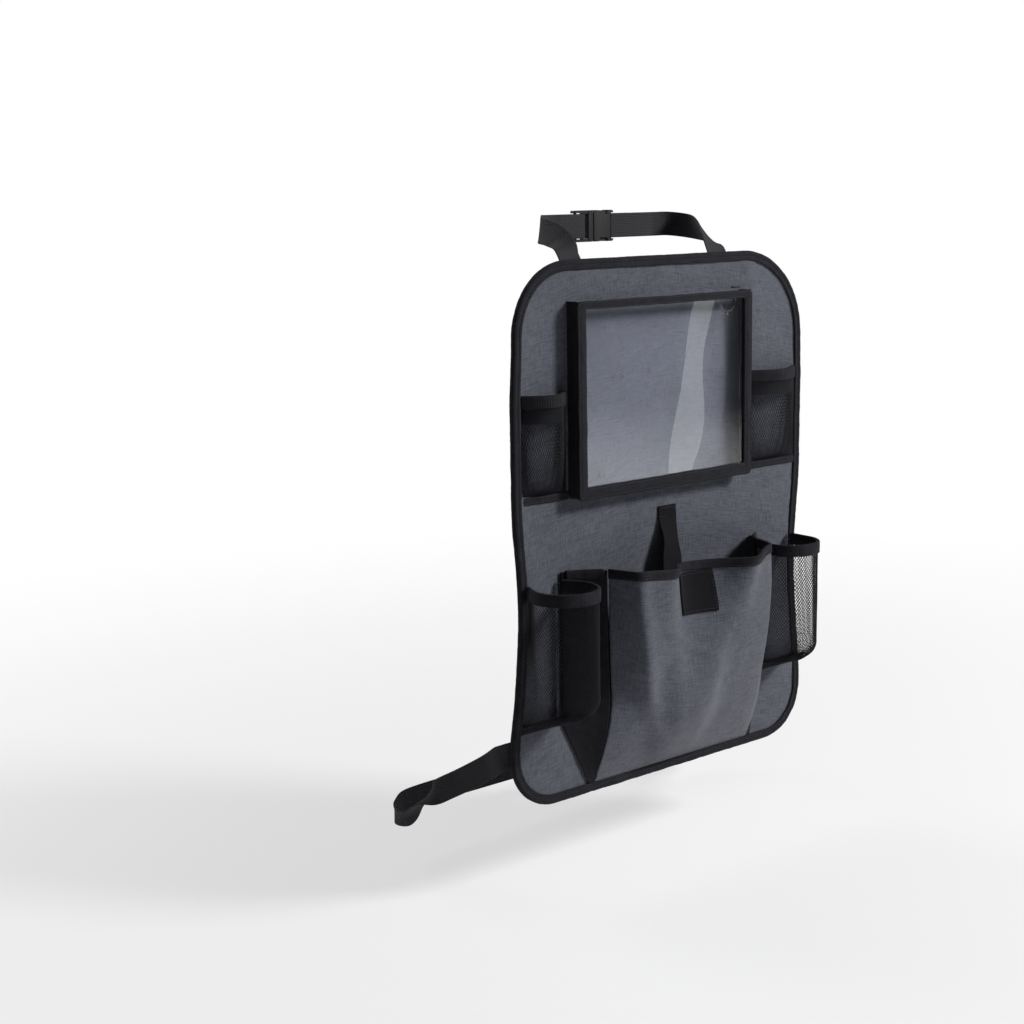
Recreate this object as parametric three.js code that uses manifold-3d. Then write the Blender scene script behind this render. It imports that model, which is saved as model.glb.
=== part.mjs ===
// Car seat back organizer: a padded fabric panel that hangs on the back of a car seat, with a clear
// tablet pocket, a deep gusseted pocket, two mesh bottle pockets and two small mesh pockets.
// It is shaped as it hangs on a seat, with its pockets open and its straps buckled.
// Millimetres, +Z up. The back of the panel lies in the plane y = 0 and the pockets face -Y.
// The origin is the middle of the panel's back.
import * as THREE from 'three';
import { mergeVertices } from 'three/addons/utils/BufferGeometryUtils.js';
import Module from 'manifold-3d';

const wasm = await Module();
wasm.setup();

// Clearance between pieces that are sewn or seated together
const GAP = 0.3;

// Panel and the tape bound round its edge
const PANEL_WIDTH = 412;
const PANEL_HEIGHT = 534;
const PANEL_THICKNESS = 3;
const TOP_CORNER_RADIUS = { left: 72, right: 88 }; // as it hangs, the right corner slumps more
const BOTTOM_CORNER_RADIUS = 54;
const SHOULDER_PULL = 3.5; // the headrest straps draw the sides in below the top corners
const SHOULDER_Z = PANEL_HEIGHT / 2 - 67;
const SHOULDER_REACH = 75;
const WAIST_PULL = 7; // the filled bottle pockets draw the sides in
const WAIST_Z = -66;
const WAIST_REACH = 110;
const SIDE_STRAP_Z = 59 - PANEL_HEIGHT / 2;
const STRAP_PULL = 4; // the side straps draw the lower corners out
const STRAP_PULL_REACH = 60;
const BINDING_FACE = 10; // width of tape seen on each face
const BINDING_TAPE = 1.2;

// Cloth thicknesses
const FABRIC = 1.5;
const MESH = 1.2;
const TAPE = 0.9;
const WEBBING_WIDTH = 25;
const WEBBING = 1.5;

// Tablet pocket: a window of clear vinyl in a taped frame, held off the panel by a side wall
const TABLET_CENTRE_X = -11;
const TABLET_WIDTH = 246;
const TABLET_HEIGHT = 193;
const TABLET_TOP_Z = PANEL_HEIGHT / 2 - 38;
const TABLET_BOTTOM_Z = TABLET_TOP_Z - TABLET_HEIGHT;
const TABLET_DEPTH = 15;
const TABLET_CORNER_RADIUS = 5;
const FRAME_SIDE = 11.5;
const FRAME_TOP = 8;
const FRAME_BOTTOM = 13;
const VINYL = 0.8;
const TABLET_LEFT = TABLET_CENTRE_X - TABLET_WIDTH / 2;
const TABLET_RIGHT = TABLET_CENTRE_X + TABLET_WIDTH / 2;
const CABLE_HOLE_RADIUS = 11.5;
const CABLE_HOLE_INSET = 35; // from the frame's right end
const CABLE_HOLE_X = TABLET_RIGHT - CABLE_HOLE_INSET;
const CABLE_HOLE_DROP = 10; // below the top of the frame
const TACK_LENGTH = 14;
const TACK_X = TABLET_RIGHT - TACK_LENGTH / 2;
const TACK_ABOVE_FRAME = 3;
const TACK_HEIGHT = 2.4;

// Small mesh pockets beside the tablet pocket
const SMALL_POCKET_BOTTOM_Z = TABLET_BOTTOM_Z + 10;
const SMALL_POCKET_TOP_Z = SMALL_POCKET_BOTTOM_Z + 96;
const SMALL_POCKET_BULGE = 17;
const SMALL_POCKET_ROUND = 70; // height over which the bulge dies out
const SMALL_POCKET_CLEARANCE = 4; // to the wall of the tablet pocket

// Bottle pockets: mesh stretched round a bottle on each side
const BOTTLE_TOP_Z = -42;
const BOTTLE_BOTTOM_Z = 87 - PANEL_HEIGHT / 2;
const BOTTLE_ROUND = 30;
const BOTTLE_RADIUS = { left: 32.5, right: 31 };
const BOTTLE_FROM_EDGE = { left: 37, right: 47 }; // from the panel's edge to the bottle's middle
const GATHER_COUNT = 7;
const GATHER_DEPTH = 1.6;

// Elastic and hem tapes of the mesh pockets
const ELASTIC_HEIGHT = 11;
const ELASTIC_TAPE = 1.1;
const HEM_HEIGHT = 8;
const TAPE_INSET = 0.03; // share of the edge that is left free at each end, where it meets the panel

// Deep pocket: a grey front, folded back softly at both sides, on two black gussets
const FRONT_TOP_HALF = 97; // from the middle to the fold at each side
const FRONT_FOOT_FOLD = { left: 30, right: 107 }; // where the folds run out at the foot
const FRONT_BOTTOM_HALF = 113; // from the middle to the gusset's seam
const FRONT_SEAM_TAPER = 7; // the seam stands this much closer in above its foot
const FRONT_SEAM_DEPTH = 26; // how far the seam stands off the panel
const FRONT_SEAM_FULL_AT = 0.42;
const FRONT_CORNER_Z = BOTTLE_TOP_Z;
const FRONT_SAG = 7;
const FRONT_DEPTH = 57;
const FRONT_FULL_DEPTH_AT = { left: 0.8, right: 0.65 }; // share of the height with full depth above it
const FRONT_FULLNESS = { left: 0.95, right: 0.85 };
const FRONT_DIP = 0.34; // the middle of the top edge hangs back by this share of the depth
const FRONT_DIP_WIDTH = 0.42;
const FRONT_LOBE = 9;
const GUSSET_FROM_EDGE = { left: 59, right: 69 }; // from the panel's edge to the gusset's seam
const GUSSET_FOLD_Z = BOTTLE_BOTTOM_Z - 10; // below this the gusset's seam runs diagonally to the front
const GUSSET_BOTTOM_WIDTH = 7;
const GUSSET_HOLLOW = 5; // the bottle beside it presses each gusset in
const SEAM_SETBACK = 1.4;
const POCKET_BINDING_HEIGHT = 8;

// Closing tab and the patch that it sticks to
const PATCH_WIDTH = 46;
const PATCH_HEIGHT = 42;
const PATCH_CENTRE_X = -5;
const TAB_X = 1;
const TAB_TOP_Z = TABLET_BOTTOM_Z - 22;
const TAB_LENGTH = 98;
const TAB_HANG = 16; // how far its free end stands off the panel
const TAB_SWING = 4;

// Side-release buckle for 25 mm webbing, measured along the strap (x) and across it (z)
const BUCKLE_WIDTH = 32;
const BUCKLE_THICKNESS = 9.6;
const BUCKLE_EDGE = 0.8;
const WEB_SLOT = WEBBING_WIDTH + 1.6;
const BAR_RADIUS = 1.7;
const TURN_RADIUS = BAR_RADIUS + 0.45 + WEBBING / 2;
const SOCKET_LENGTH = 29;
const SOCKET_DEPTH = 22;
const SOCKET_WALL = 2.8;
const WINDOW_LIP = 1.2;
const SOCKET_BAR_X = 27.3;
const PRONG_THICKNESS = 5.4;
const PRONG_CLEARANCE = 0.4;
const LATCH_X = 8.2; // the prong heads catch behind the mouth of the socket here
const LATCH_LENGTH = 12.4;
const SHOULDER_LENGTH = 7;
const PLUG_LENGTH = 25;
const PLUG_BAR_X = -12.6;
const PLUG_OUTER_BAR_X = -21.5;

// Where the straps run, and how long their ends are past the buckles' bars
const HEADREST_DEPTH = 88; // from the panel's back to the run behind the headrest posts
const HEADREST_BUCKLE = [-17, HEADREST_DEPTH, PANEL_HEIGHT / 2 + 30];
const HEADREST_SEAM_X = 102;
const HEADREST_LEAN = 22; // both legs lean to the left where they cross the top edge
const HEADREST_HALF_SPAN = 88; // half the width of the run round the headrest posts
const HEADREST_TAIL = 52;
const SEAT_DEPTH = 190; // from the panel's back to the run round the seat
const SIDE_BUCKLE = [0, SEAT_DEPTH, -PANEL_HEIGHT / 2 - 36];
const SIDE_SPREAD = 30; // how far the side straps stand out past the panel's edge
const SIDE_TAIL = 62;
const SEWN_TAIL = 28;
const STRAP_SEAM = 34;

// Colours as seen in the photograph
const finish = (color, roughness, more = {}) =>
  new THREE.MeshStandardMaterial({ color, roughness, metalness: 0, ...more });
const GREY_CLOTH = finish(0x565a66, 0.9);
const BLACK_TAPE = finish(0x25262c, 0.8);
const BLACK_WEBBING = finish(0x303036, 0.85);
const BLACK_MESH = finish(0x1f2026, 0.85, { transparent: true, opacity: 0.55 });
const CLEAR_VINYL = finish(0xe8eef2, 0.08, { transparent: true, opacity: 0.25 });
const BLACK_PLASTIC = finish(0x17181b, 0.4);

const organizer = new THREE.Group();
const clamp01 = (value) => Math.min(1, Math.max(0, value));
const lerp = THREE.MathUtils.lerp;
const FRONT_FACE = -PANEL_THICKNESS;

function addPart(name, geometry, material, place = organizer) {
  const mesh = new THREE.Mesh(geometry, material);
  mesh.name = name;
  place.add(mesh);
  return mesh;
}

// Boolean work: a closed geometry becomes a solid and comes back as a geometry
function toSolid(geometry) {
  const bare = geometry.clone();
  bare.deleteAttribute('normal');
  bare.deleteAttribute('uv');
  const merged = mergeVertices(bare, 1e-4);
  return new wasm.Manifold(new wasm.Mesh({
    numProp: 3,
    vertProperties: new Float32Array(merged.attributes.position.array),
    triVerts: new Uint32Array(merged.index.array),
  }));
}

function toGeometry(solid) {
  const mesh = solid.getMesh();
  const geometry = new THREE.BufferGeometry();
  geometry.setAttribute('position', new THREE.BufferAttribute(new Float32Array(mesh.vertProperties), 3));
  geometry.setIndex(new THREE.BufferAttribute(new Uint32Array(mesh.triVerts), 1));
  geometry.computeVertexNormals();
  return geometry;
}

// A shape drawn in x and z and extruded towards -Y from the plane y = backY, with its edges taken off
function slab(shape, depth, backY, edge = 0) {
  const geometry = new THREE.ExtrudeGeometry(shape, {
    depth: depth - 2 * edge,
    bevelEnabled: edge > 0,
    bevelThickness: edge,
    bevelSize: edge,
    bevelOffset: -edge,
    bevelSegments: 1,
    curveSegments: 4,
  });
  geometry.rotateX(Math.PI / 2);
  geometry.translate(0, backY - edge, 0);
  return geometry;
}

function roundedRectangle(left, right, bottom, top, radius) {
  const shape = new THREE.Shape();
  shape.moveTo(left + radius, bottom);
  shape.lineTo(right - radius, bottom);
  shape.absarc(right - radius, bottom + radius, radius, -Math.PI / 2, 0);
  shape.lineTo(right, top - radius);
  shape.absarc(right - radius, top - radius, radius, 0, Math.PI / 2);
  shape.lineTo(left + radius, top);
  shape.absarc(left + radius, top - radius, radius, Math.PI / 2, Math.PI);
  shape.lineTo(left, bottom + radius);
  shape.absarc(left + radius, bottom + radius, radius, Math.PI, Math.PI * 1.5);
  return shape;
}

// Half width of the panel at a height, with its drawn-in waist and drawn-out lower corners
function halfWidthAt(z) {
  const bell = (centre, reach) => Math.cos(clamp01(Math.abs(z - centre) / reach) * Math.PI / 2) ** 2;
  const drawnIn = WAIST_PULL * bell(WAIST_Z, WAIST_REACH) + SHOULDER_PULL * bell(SHOULDER_Z, SHOULDER_REACH);
  return PANEL_WIDTH / 2 - drawnIn + STRAP_PULL * bell(SIDE_STRAP_Z, STRAP_PULL_REACH);
}

// Inner edge of the binding on the front face, where the side pockets start
function bindingEdgeAt(z) {
  return halfWidthAt(z) + BINDING_TAPE + GAP - BINDING_FACE;
}

// One side of the panel's outline from the bottom to the top, drawn on the right
function outlineHalf(grow, topRadius) {
  const points = [];
  const sideSteps = 12;
  const cornerSteps = 8;
  const top = PANEL_HEIGHT / 2;
  const lowZ = -top + BOTTOM_CORNER_RADIUS;
  const highZ = top - topRadius;
  const corner = (centreX, centreZ, radius, from, to) => {
    for (let i = 0; i < cornerSteps; i += 1) {
      const angle = lerp(from, to, i / cornerSteps);
      points.push(new THREE.Vector2(
        centreX + (radius + grow) * Math.cos(angle),
        centreZ + (radius + grow) * Math.sin(angle),
      ));
    }
  };
  corner(halfWidthAt(lowZ) - BOTTOM_CORNER_RADIUS, lowZ, BOTTOM_CORNER_RADIUS, -Math.PI / 2, 0);
  for (let i = 0; i < sideSteps; i += 1) {
    const z = lerp(lowZ, highZ, i / sideSteps);
    points.push(new THREE.Vector2(halfWidthAt(z) + grow, z));
  }
  corner(halfWidthAt(highZ) - topRadius, highZ, topRadius, 0, Math.PI / 2);
  points.push(new THREE.Vector2(halfWidthAt(highZ) - topRadius, top + grow));
  return points;
}

function panelOutline(grow) {
  const right = outlineHalf(grow, TOP_CORNER_RADIUS.right);
  const left = outlineHalf(grow, TOP_CORNER_RADIUS.left).map((point) => new THREE.Vector2(-point.x, point.y));
  return new THREE.Shape([...right, ...left.reverse()]);
}

// Closed skin over a ring of points repeated along a path; the two ends are capped
function loft(rings) {
  const count = rings[0].length;
  const positions = rings.flat().flatMap((point) => [point.x, point.y, point.z]);
  const index = [];
  for (let i = 0; i < rings.length - 1; i += 1) {
    for (let j = 0; j < count; j += 1) {
      const a = i * count + j;
      const b = i * count + ((j + 1) % count);
      index.push(a, b, a + count, b, b + count, a + count);
    }
  }
  return { positions, index, count };
}

function outward(positions, index) {
  let volume = 0;
  const point = (k) => new THREE.Vector3().fromArray(positions, 3 * k);
  for (let i = 0; i < index.length; i += 3) {
    volume += point(index[i]).dot(point(index[i + 1]).cross(point(index[i + 2])));
  }
  if (volume < 0) {
    for (let i = 0; i < index.length; i += 3) {
      [index[i], index[i + 1]] = [index[i + 1], index[i]];
    }
  }
  const geometry = new THREE.BufferGeometry();
  geometry.setAttribute('position', new THREE.Float32BufferAttribute(positions, 3));
  geometry.setIndex(index);
  geometry.computeVertexNormals();
  return geometry;
}

// A section carried along stations of { at, out, up }: x of the section goes along out, y along up
function sweepSection(section, stations) {
  const rings = stations.map(({ at, out, up }) => section.map(([x, y]) => at.clone()
    .addScaledVector(out, x)
    .addScaledVector(up, y)));
  const { positions, index, count } = loft(rings);
  const faces = THREE.ShapeUtils.triangulateShape(section.map(([x, y]) => new THREE.Vector2(x, y)), []);
  const last = (stations.length - 1) * count;
  const clockwise = THREE.ShapeUtils.isClockWise(section.map(([x, y]) => new THREE.Vector2(x, y)));
  for (const [a, b, c] of faces) {
    const near = clockwise ? [a, b, c] : [c, b, a];
    index.push(...near, last + near[2], last + near[1], last + near[0]);
  }
  return outward(positions, index);
}

// Unit normal of a surface at (u, v), by small steps that stay inside it
function surfaceNormal(surface, u, v) {
  const step = 1e-3;
  const alongU = surface(clamp01(u + step), v).sub(surface(clamp01(u - step), v));
  const alongV = surface(u, clamp01(v + step)).sub(surface(u, clamp01(v - step)));
  return alongU.cross(alongV).normalize();
}

// A sheet of cloth of even thickness over surface(u, v), with u and v from 0 to 1
function clothSheet(surface, uSteps, vSteps, thickness) {
  const faces = [[], []];
  for (let j = 0; j <= vSteps; j += 1) {
    for (let i = 0; i <= uSteps; i += 1) {
      const [u, v] = [i / uSteps, j / vSteps];
      const at = surface(u, v);
      const normal = surfaceNormal(surface, u, v);
      faces[0].push(at.clone().addScaledVector(normal, thickness / 2));
      faces[1].push(at.clone().addScaledVector(normal, -thickness / 2));
    }
  }
  const row = uSteps + 1;
  const back = faces[0].length;
  const positions = faces.flat().flatMap((point) => [point.x, point.y, point.z]);
  const index = [];
  const quad = (a, b, c, d) => index.push(a, b, c, a, c, d);
  for (let j = 0; j < vSteps; j += 1) {
    for (let i = 0; i < uSteps; i += 1) {
      const a = j * row + i;
      quad(a, a + 1, a + row + 1, a + row);
      quad(back + a, back + a + row, back + a + row + 1, back + a + 1);
    }
  }
  const wall = (a, b) => quad(a, back + a, back + b, b);
  for (let i = 0; i < uSteps; i += 1) {
    wall(i, i + 1);
    wall(vSteps * row + i + 1, vSteps * row + i);
  }
  for (let j = 0; j < vSteps; j += 1) {
    wall((j + 1) * row, j * row);
    wall(j * row + uSteps, (j + 1) * row + uSteps);
  }
  return outward(positions, index);
}

// Folded tape over the free edge v = 1 of a cloth surface: a U that leaves a gap all round
function edgeTape(surface, steps, cloth, tape, height, from = 0, to = 1) {
  const inner = cloth / 2 + GAP;
  const outer = inner + tape;
  const section = [
    [-outer, -height], [-inner, -height], [-inner, GAP], [inner, GAP],
    [inner, -height], [outer, -height], [outer, GAP + tape], [-outer, GAP + tape],
  ];
  const stations = [];
  for (let i = 0; i <= steps; i += 1) {
    const u = lerp(from, to, i / steps);
    const at = surface(u, 1);
    const out = surfaceNormal(surface, u, 1);
    const along = surface(clamp01(u + 1e-3), 1).sub(surface(clamp01(u - 1e-3), 1)).normalize();
    const up = new THREE.Vector3().crossVectors(out, along).normalize();
    if (up.z < 0) up.negate();
    stations.push({ at, out, up });
  }
  return sweepSection(section, stations);
}

function curveThrough(points) {
  return new THREE.CatmullRomCurve3(points.map((point) => new THREE.Vector3(...point)), false, 'centripetal');
}

// Flat webbing along a list of points; across gives the direction of its width at each
function webbingStrip(points, acrosses, width = WEBBING_WIDTH, thickness = WEBBING) {
  const section = [
    [-width / 2, -thickness / 2], [width / 2, -thickness / 2],
    [width / 2, thickness / 2], [-width / 2, thickness / 2],
  ];
  const stations = points.map((at, i) => {
    const before = points[Math.max(0, i - 1)];
    const after = points[Math.min(points.length - 1, i + 1)];
    const along = after.clone().sub(before).normalize();
    const out = acrosses[i].clone().addScaledVector(along, -acrosses[i].dot(along)).normalize();
    return { at, out, up: new THREE.Vector3().crossVectors(along, out) };
  });
  return sweepSection(section, stations);
}

// Points and widths of a strap's free run, each given as [x, y, z, acrossX, acrossY, acrossZ]
function strapRun(route, steps) {
  const centre = curveThrough(route.map((row) => row.slice(0, 3)));
  const across = curveThrough(route.map((row) => row.slice(3)));
  const points = [];
  const acrosses = [];
  for (let i = 0; i <= steps; i += 1) {
    points.push(centre.getPoint(i / steps));
    acrosses.push(across.getPoint(i / steps).normalize());
  }
  return { points, acrosses };
}

// The strap's end: round a buckle bar that stands upright at (barX, barY), then back along itself
function strapTurn(run, barX, barY, heading, tail) {
  const z = run.points.at(-1).z;
  const upright = new THREE.Vector3(0, 0, run.acrosses.at(-1).z < 0 ? -1 : 1);
  const turnSteps = 8;
  for (let i = 0; i <= turnSteps; i += 1) {
    const angle = lerp(-Math.PI / 2, Math.PI / 2, i / turnSteps);
    run.points.push(new THREE.Vector3(
      barX + heading * TURN_RADIUS * Math.cos(angle),
      barY + TURN_RADIUS * Math.sin(angle),
      z,
    ));
    run.acrosses.push(upright);
  }
  const tailSteps = 4;
  for (let i = 1; i <= tailSteps; i += 1) {
    run.points.push(new THREE.Vector3(barX - heading * tail * (i / tailSteps), barY + TURN_RADIUS, z));
    run.acrosses.push(upright);
  }
  return webbingStrip(run.points, run.acrosses);
}

function makePanel() {
  addPart('back_panel', slab(panelOutline(0), PANEL_THICKNESS, 0), GREY_CLOTH);
}

// Tape folded round the edge of the panel and sewn through: a ring with a U section
function makeEdgeBinding() {
  const proud = BINDING_TAPE + GAP;
  const whole = toSolid(slab(panelOutline(proud), PANEL_THICKNESS + 2 * proud, proud, BINDING_TAPE * 0.9));
  const opening = toSolid(slab(panelOutline(proud - BINDING_FACE), PANEL_THICKNESS + 4 * proud, 2 * proud));
  const slot = toSolid(slab(panelOutline(GAP), PANEL_THICKNESS + 2 * GAP, GAP));
  addPart('edge_binding', toGeometry(whole.subtract(opening).subtract(slot)), BLACK_TAPE);
}

// The tablet pocket stands off the panel on a wall that is open at the top
function makeTabletPocket() {
  const [left, right] = [TABLET_LEFT, TABLET_RIGHT];
  const frameBack = FRONT_FACE - TABLET_DEPTH;
  const outer = roundedRectangle(left, right, TABLET_BOTTOM_Z, TABLET_TOP_Z, TABLET_CORNER_RADIUS);
  outer.holes.push(new THREE.Path(roundedRectangle(
    left + FRAME_SIDE,
    right - FRAME_SIDE,
    TABLET_BOTTOM_Z + FRAME_BOTTOM,
    TABLET_TOP_Z - FRAME_TOP,
    TABLET_CORNER_RADIUS / 2,
  ).getPoints(4).reverse()));
  addPart('tablet_frame', slab(outer, FABRIC, frameBack), BLACK_TAPE);

  const wall = new THREE.Shape();
  const radius = TABLET_CORNER_RADIUS;
  const bottom = TABLET_BOTTOM_Z;
  wall.moveTo(left, TABLET_TOP_Z);
  wall.lineTo(left, bottom + radius);
  wall.absarc(left + radius, bottom + radius, radius, Math.PI, Math.PI * 1.5);
  wall.lineTo(right - radius, bottom);
  wall.absarc(right - radius, bottom + radius, radius, -Math.PI / 2, 0);
  wall.lineTo(right, TABLET_TOP_Z);
  wall.lineTo(right - FABRIC, TABLET_TOP_Z);
  wall.lineTo(right - FABRIC, bottom + radius);
  wall.absarc(right - radius, bottom + radius, radius - FABRIC, 0, -Math.PI / 2, true);
  wall.lineTo(left + radius, bottom + FABRIC);
  wall.absarc(left + radius, bottom + radius, radius - FABRIC, Math.PI * 1.5, Math.PI, true);
  wall.lineTo(left + FABRIC, TABLET_TOP_Z);
  addPart('tablet_side_wall', slab(wall, TABLET_DEPTH - 2 * GAP, FRONT_FACE - GAP), BLACK_TAPE);

  const inset = FABRIC + GAP;
  const sheet = roundedRectangle(left + inset, right - inset, bottom + inset, TABLET_TOP_Z - GAP, radius - inset);
  const vinyl = toSolid(slab(sheet, VINYL, frameBack + GAP + VINYL));
  const notch = new THREE.CylinderGeometry(CABLE_HOLE_RADIUS, CABLE_HOLE_RADIUS, 4 * VINYL, 24);
  notch.translate(CABLE_HOLE_X, frameBack + GAP + VINYL / 2, TABLET_TOP_Z - CABLE_HOLE_DROP);
  addPart('tablet_window', toGeometry(vinyl.subtract(toSolid(notch))), CLEAR_VINYL);

  const tackZ = TABLET_TOP_Z + TACK_ABOVE_FRAME;
  const tack = roundedRectangle(TACK_X - TACK_LENGTH / 2, TACK_X + TACK_LENGTH / 2, tackZ - TACK_HEIGHT / 2,
    tackZ + TACK_HEIGHT / 2, TACK_HEIGHT / 2 - 0.01);
  addPart('cable_slit_tack', slab(tack, TAPE, FRONT_FACE - GAP), BLACK_TAPE);
}

// Mesh wall of a side pocket. span(z) gives its outer and inner seam as distances from the middle,
// full(seams, t) the section where the pocket is filled, and the bulge dies out over round at the bottom.
function meshSurface({ side, bottomZ, topZ, round, span, full, gathers }) {
  const seamY = FRONT_FACE - GAP - MESH / 2;
  const roundShare = 0.4;
  return (u, v) => {
    const angle = clamp01(v / roundShare) * Math.PI / 2;
    const rise = round * (1 - Math.cos(angle));
    const z = bottomZ + (v < roundShare ? rise : lerp(round, topZ - bottomZ, (v - roundShare) / (1 - roundShare)));
    const seams = span(z);
    const filled = full(seams, u);
    const bulge = Math.sin(angle);
    const wave = gathers * Math.sin(Math.PI * u) * (1 - Math.cos(2 * Math.PI * GATHER_COUNT * u)) / 2;
    const x = lerp(lerp(seams.outer, seams.inner, u), filled.x, bulge);
    const y = lerp(seamY, filled.y, bulge) - wave * Math.sin(2 * angle);
    return new THREE.Vector3(side * x, Math.min(seamY, y), z);
  };
}

// Section of a filled bottle pocket: straight from each seam to the bottle and round its front
function bottleSection(centre, radius) {
  const seamY = FRONT_FACE - GAP - MESH / 2;
  const touch = (seamX, turn) => {
    const from = new THREE.Vector2(seamX - centre.x, seamY - centre.y);
    return Math.atan2(from.y, from.x) + turn * Math.acos(radius / from.length());
  };
  return ({ outer, inner }, t) => {
    const start = touch(outer, -1);
    const end = touch(inner, 1) - 2 * Math.PI;
    const rim = (angle) => new THREE.Vector2(centre.x + radius * Math.cos(angle), centre.y + radius * Math.sin(angle));
    const lead = new THREE.Vector2(outer, seamY).distanceTo(rim(start));
    const arc = radius * (start - end);
    const tail = new THREE.Vector2(inner, seamY).distanceTo(rim(end));
    const run = t * (lead + arc + tail);
    if (run < lead) return new THREE.Vector2(outer, seamY).lerp(rim(start), run / lead);
    if (run < lead + arc) return rim(lerp(start, end, (run - lead) / arc));
    return rim(end).lerp(new THREE.Vector2(inner, seamY), (run - lead - arc) / tail);
  };
}

function addMeshPocket(name, surface, uSteps, vSteps, hem) {
  addPart(`${name}_mesh`, clothSheet(surface, uSteps, vSteps, MESH), BLACK_MESH);
  const elastic = edgeTape(surface, uSteps, MESH, ELASTIC_TAPE, ELASTIC_HEIGHT, TAPE_INSET, 1 - TAPE_INSET);
  addPart(`${name}_elastic`, elastic, BLACK_TAPE);
  const tape = roundedRectangle(...hem, 1);
  addPart(`${name}_hem`, slab(tape, ELASTIC_TAPE, FRONT_FACE - GAP), BLACK_TAPE);
}

function makeBottlePocket(sideName) {
  const side = sideName === 'left' ? -1 : 1;
  const radius = BOTTLE_RADIUS[sideName];
  const centre = new THREE.Vector2(PANEL_WIDTH / 2 - BOTTLE_FROM_EDGE[sideName], FRONT_FACE - radius - GAP);
  const seamInset = MESH / 2 + 3 * GAP;
  const gussetTape = FABRIC / 2 + GAP + TAPE;
  const innerSeam = gussetSeamX(sideName) + gussetTape + MESH / 2 + ELASTIC_TAPE + 2 * GAP;
  const surface = meshSurface({
    side,
    bottomZ: BOTTLE_BOTTOM_Z,
    topZ: BOTTLE_TOP_Z,
    round: BOTTLE_ROUND,
    span: (z) => ({ outer: bindingEdgeAt(z) - seamInset, inner: innerSeam }),
    full: bottleSection(centre, radius),
    gathers: GATHER_DEPTH,
  });
  const edges = [side * innerSeam, side * (bindingEdgeAt(BOTTLE_BOTTOM_Z) - GAP)].sort((a, b) => a - b);
  const hemTop = BOTTLE_BOTTOM_Z - MESH / 2 - GAP;
  addMeshPocket(`${sideName}_bottle_pocket`, surface, 20, 9, [...edges, hemTop - HEM_HEIGHT, hemTop]);
}

function makeSmallPocket(sideName) {
  const side = sideName === 'left' ? -1 : 1;
  const tabletEdge = TABLET_WIDTH / 2 + side * TABLET_CENTRE_X;
  const seamInset = GAP + MESH / 2;
  const seamY = FRONT_FACE - seamInset;
  const surface = meshSurface({
    side,
    bottomZ: SMALL_POCKET_BOTTOM_Z,
    topZ: SMALL_POCKET_TOP_Z,
    round: SMALL_POCKET_ROUND,
    span: (z) => ({ outer: bindingEdgeAt(z) - seamInset, inner: tabletEdge + SMALL_POCKET_CLEARANCE }),
    full: ({ outer, inner }, t) => new THREE.Vector2(
      lerp(outer, inner, t),
      seamY - SMALL_POCKET_BULGE * Math.sin(Math.PI * t),
    ),
    gathers: 0,
  });
  const hemTop = SMALL_POCKET_BOTTOM_Z - MESH / 2 - GAP;
  const edges = [side * tabletEdge, side * bindingEdgeAt(hemTop - HEM_HEIGHT)];
  edges.sort((a, b) => a - b);
  const hem = [edges[0] + GAP, edges[1] - GAP, hemTop - HEM_HEIGHT, hemTop];
  addMeshPocket(`${sideName}_small_pocket`, surface, 10, 8, hem);
}

function gussetSeamX(sideName) {
  return PANEL_WIDTH / 2 - GUSSET_FROM_EDGE[sideName];
}

// The deep pocket, described by its height share h: 0 at the bottom seam, 1 at the top
const pocketBottomZ = -PANEL_HEIGHT / 2 - BINDING_TAPE - GAP + BINDING_FACE + 4 * GAP;
const pocketSeamY = FRONT_FACE - GAP - FABRIC / 2;
const risingTo = (h, full) => Math.sin(clamp01(h / full) * Math.PI / 2);

// Fold and gusset seam at one side of the front, each as distance from the middle and depth
function frontCorner(sideName, h) {
  const fold = lerp(FRONT_FOOT_FOLD[sideName], FRONT_TOP_HALF, risingTo(h, 0.9));
  const depth = FRONT_DEPTH * risingTo(h, FRONT_FULL_DEPTH_AT[sideName]) ** FRONT_FULLNESS[sideName];
  const seam = FRONT_BOTTOM_HALF - FRONT_SEAM_TAPER * clamp01(h / FRONT_SEAM_FULL_AT);
  const seamDepth = FRONT_SEAM_DEPTH * risingTo(h, FRONT_SEAM_FULL_AT);
  const halfLength = fold + Math.hypot(seam - fold, depth - seamDepth);
  return { fold, depth, seam, seamDepth, halfLength };
}

function pocketFrontSurface(u, v) {
  const side = u < 0.5 ? -1 : 1;
  const corner = frontCorner(side < 0 ? 'left' : 'right', v);
  const share = Math.abs(2 * u - 1);
  const bend = lerp(0.16, 0.045, risingTo(v, 0.85));
  const foldShare = corner.fold / corner.halfLength;
  const past = (at) => (Math.hypot(at - foldShare, bend) + at - foldShare) / 2;
  const toSeam = (past(share) - past(0)) / (past(1) - past(0));
  const toFold = (share - past(share) + past(0)) / (1 - past(1) + past(0));
  const blend = THREE.MathUtils.smoothstep(side * toFold, -1, 1);
  const depth = lerp(frontCorner('left', v).depth, frontCorner('right', v).depth, blend);
  const dip = FRONT_DIP * v ** 1.3 * Math.exp(-((toFold / FRONT_DIP_WIDTH) ** 4));
  const lobe = FRONT_LOBE * v * v * Math.sin(Math.PI * toFold) ** 2;
  const topZ = FRONT_CORNER_Z - FRONT_SAG * (1 - toFold * toFold) ** 1.5;
  return new THREE.Vector3(
    side * (corner.fold * toFold + (corner.seam - corner.fold) * toSeam),
    pocketSeamY - depth * (1 - dip) - lobe + (corner.depth - corner.seamDepth) * toSeam,
    lerp(pocketBottomZ, topZ, v),
  );
}

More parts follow.
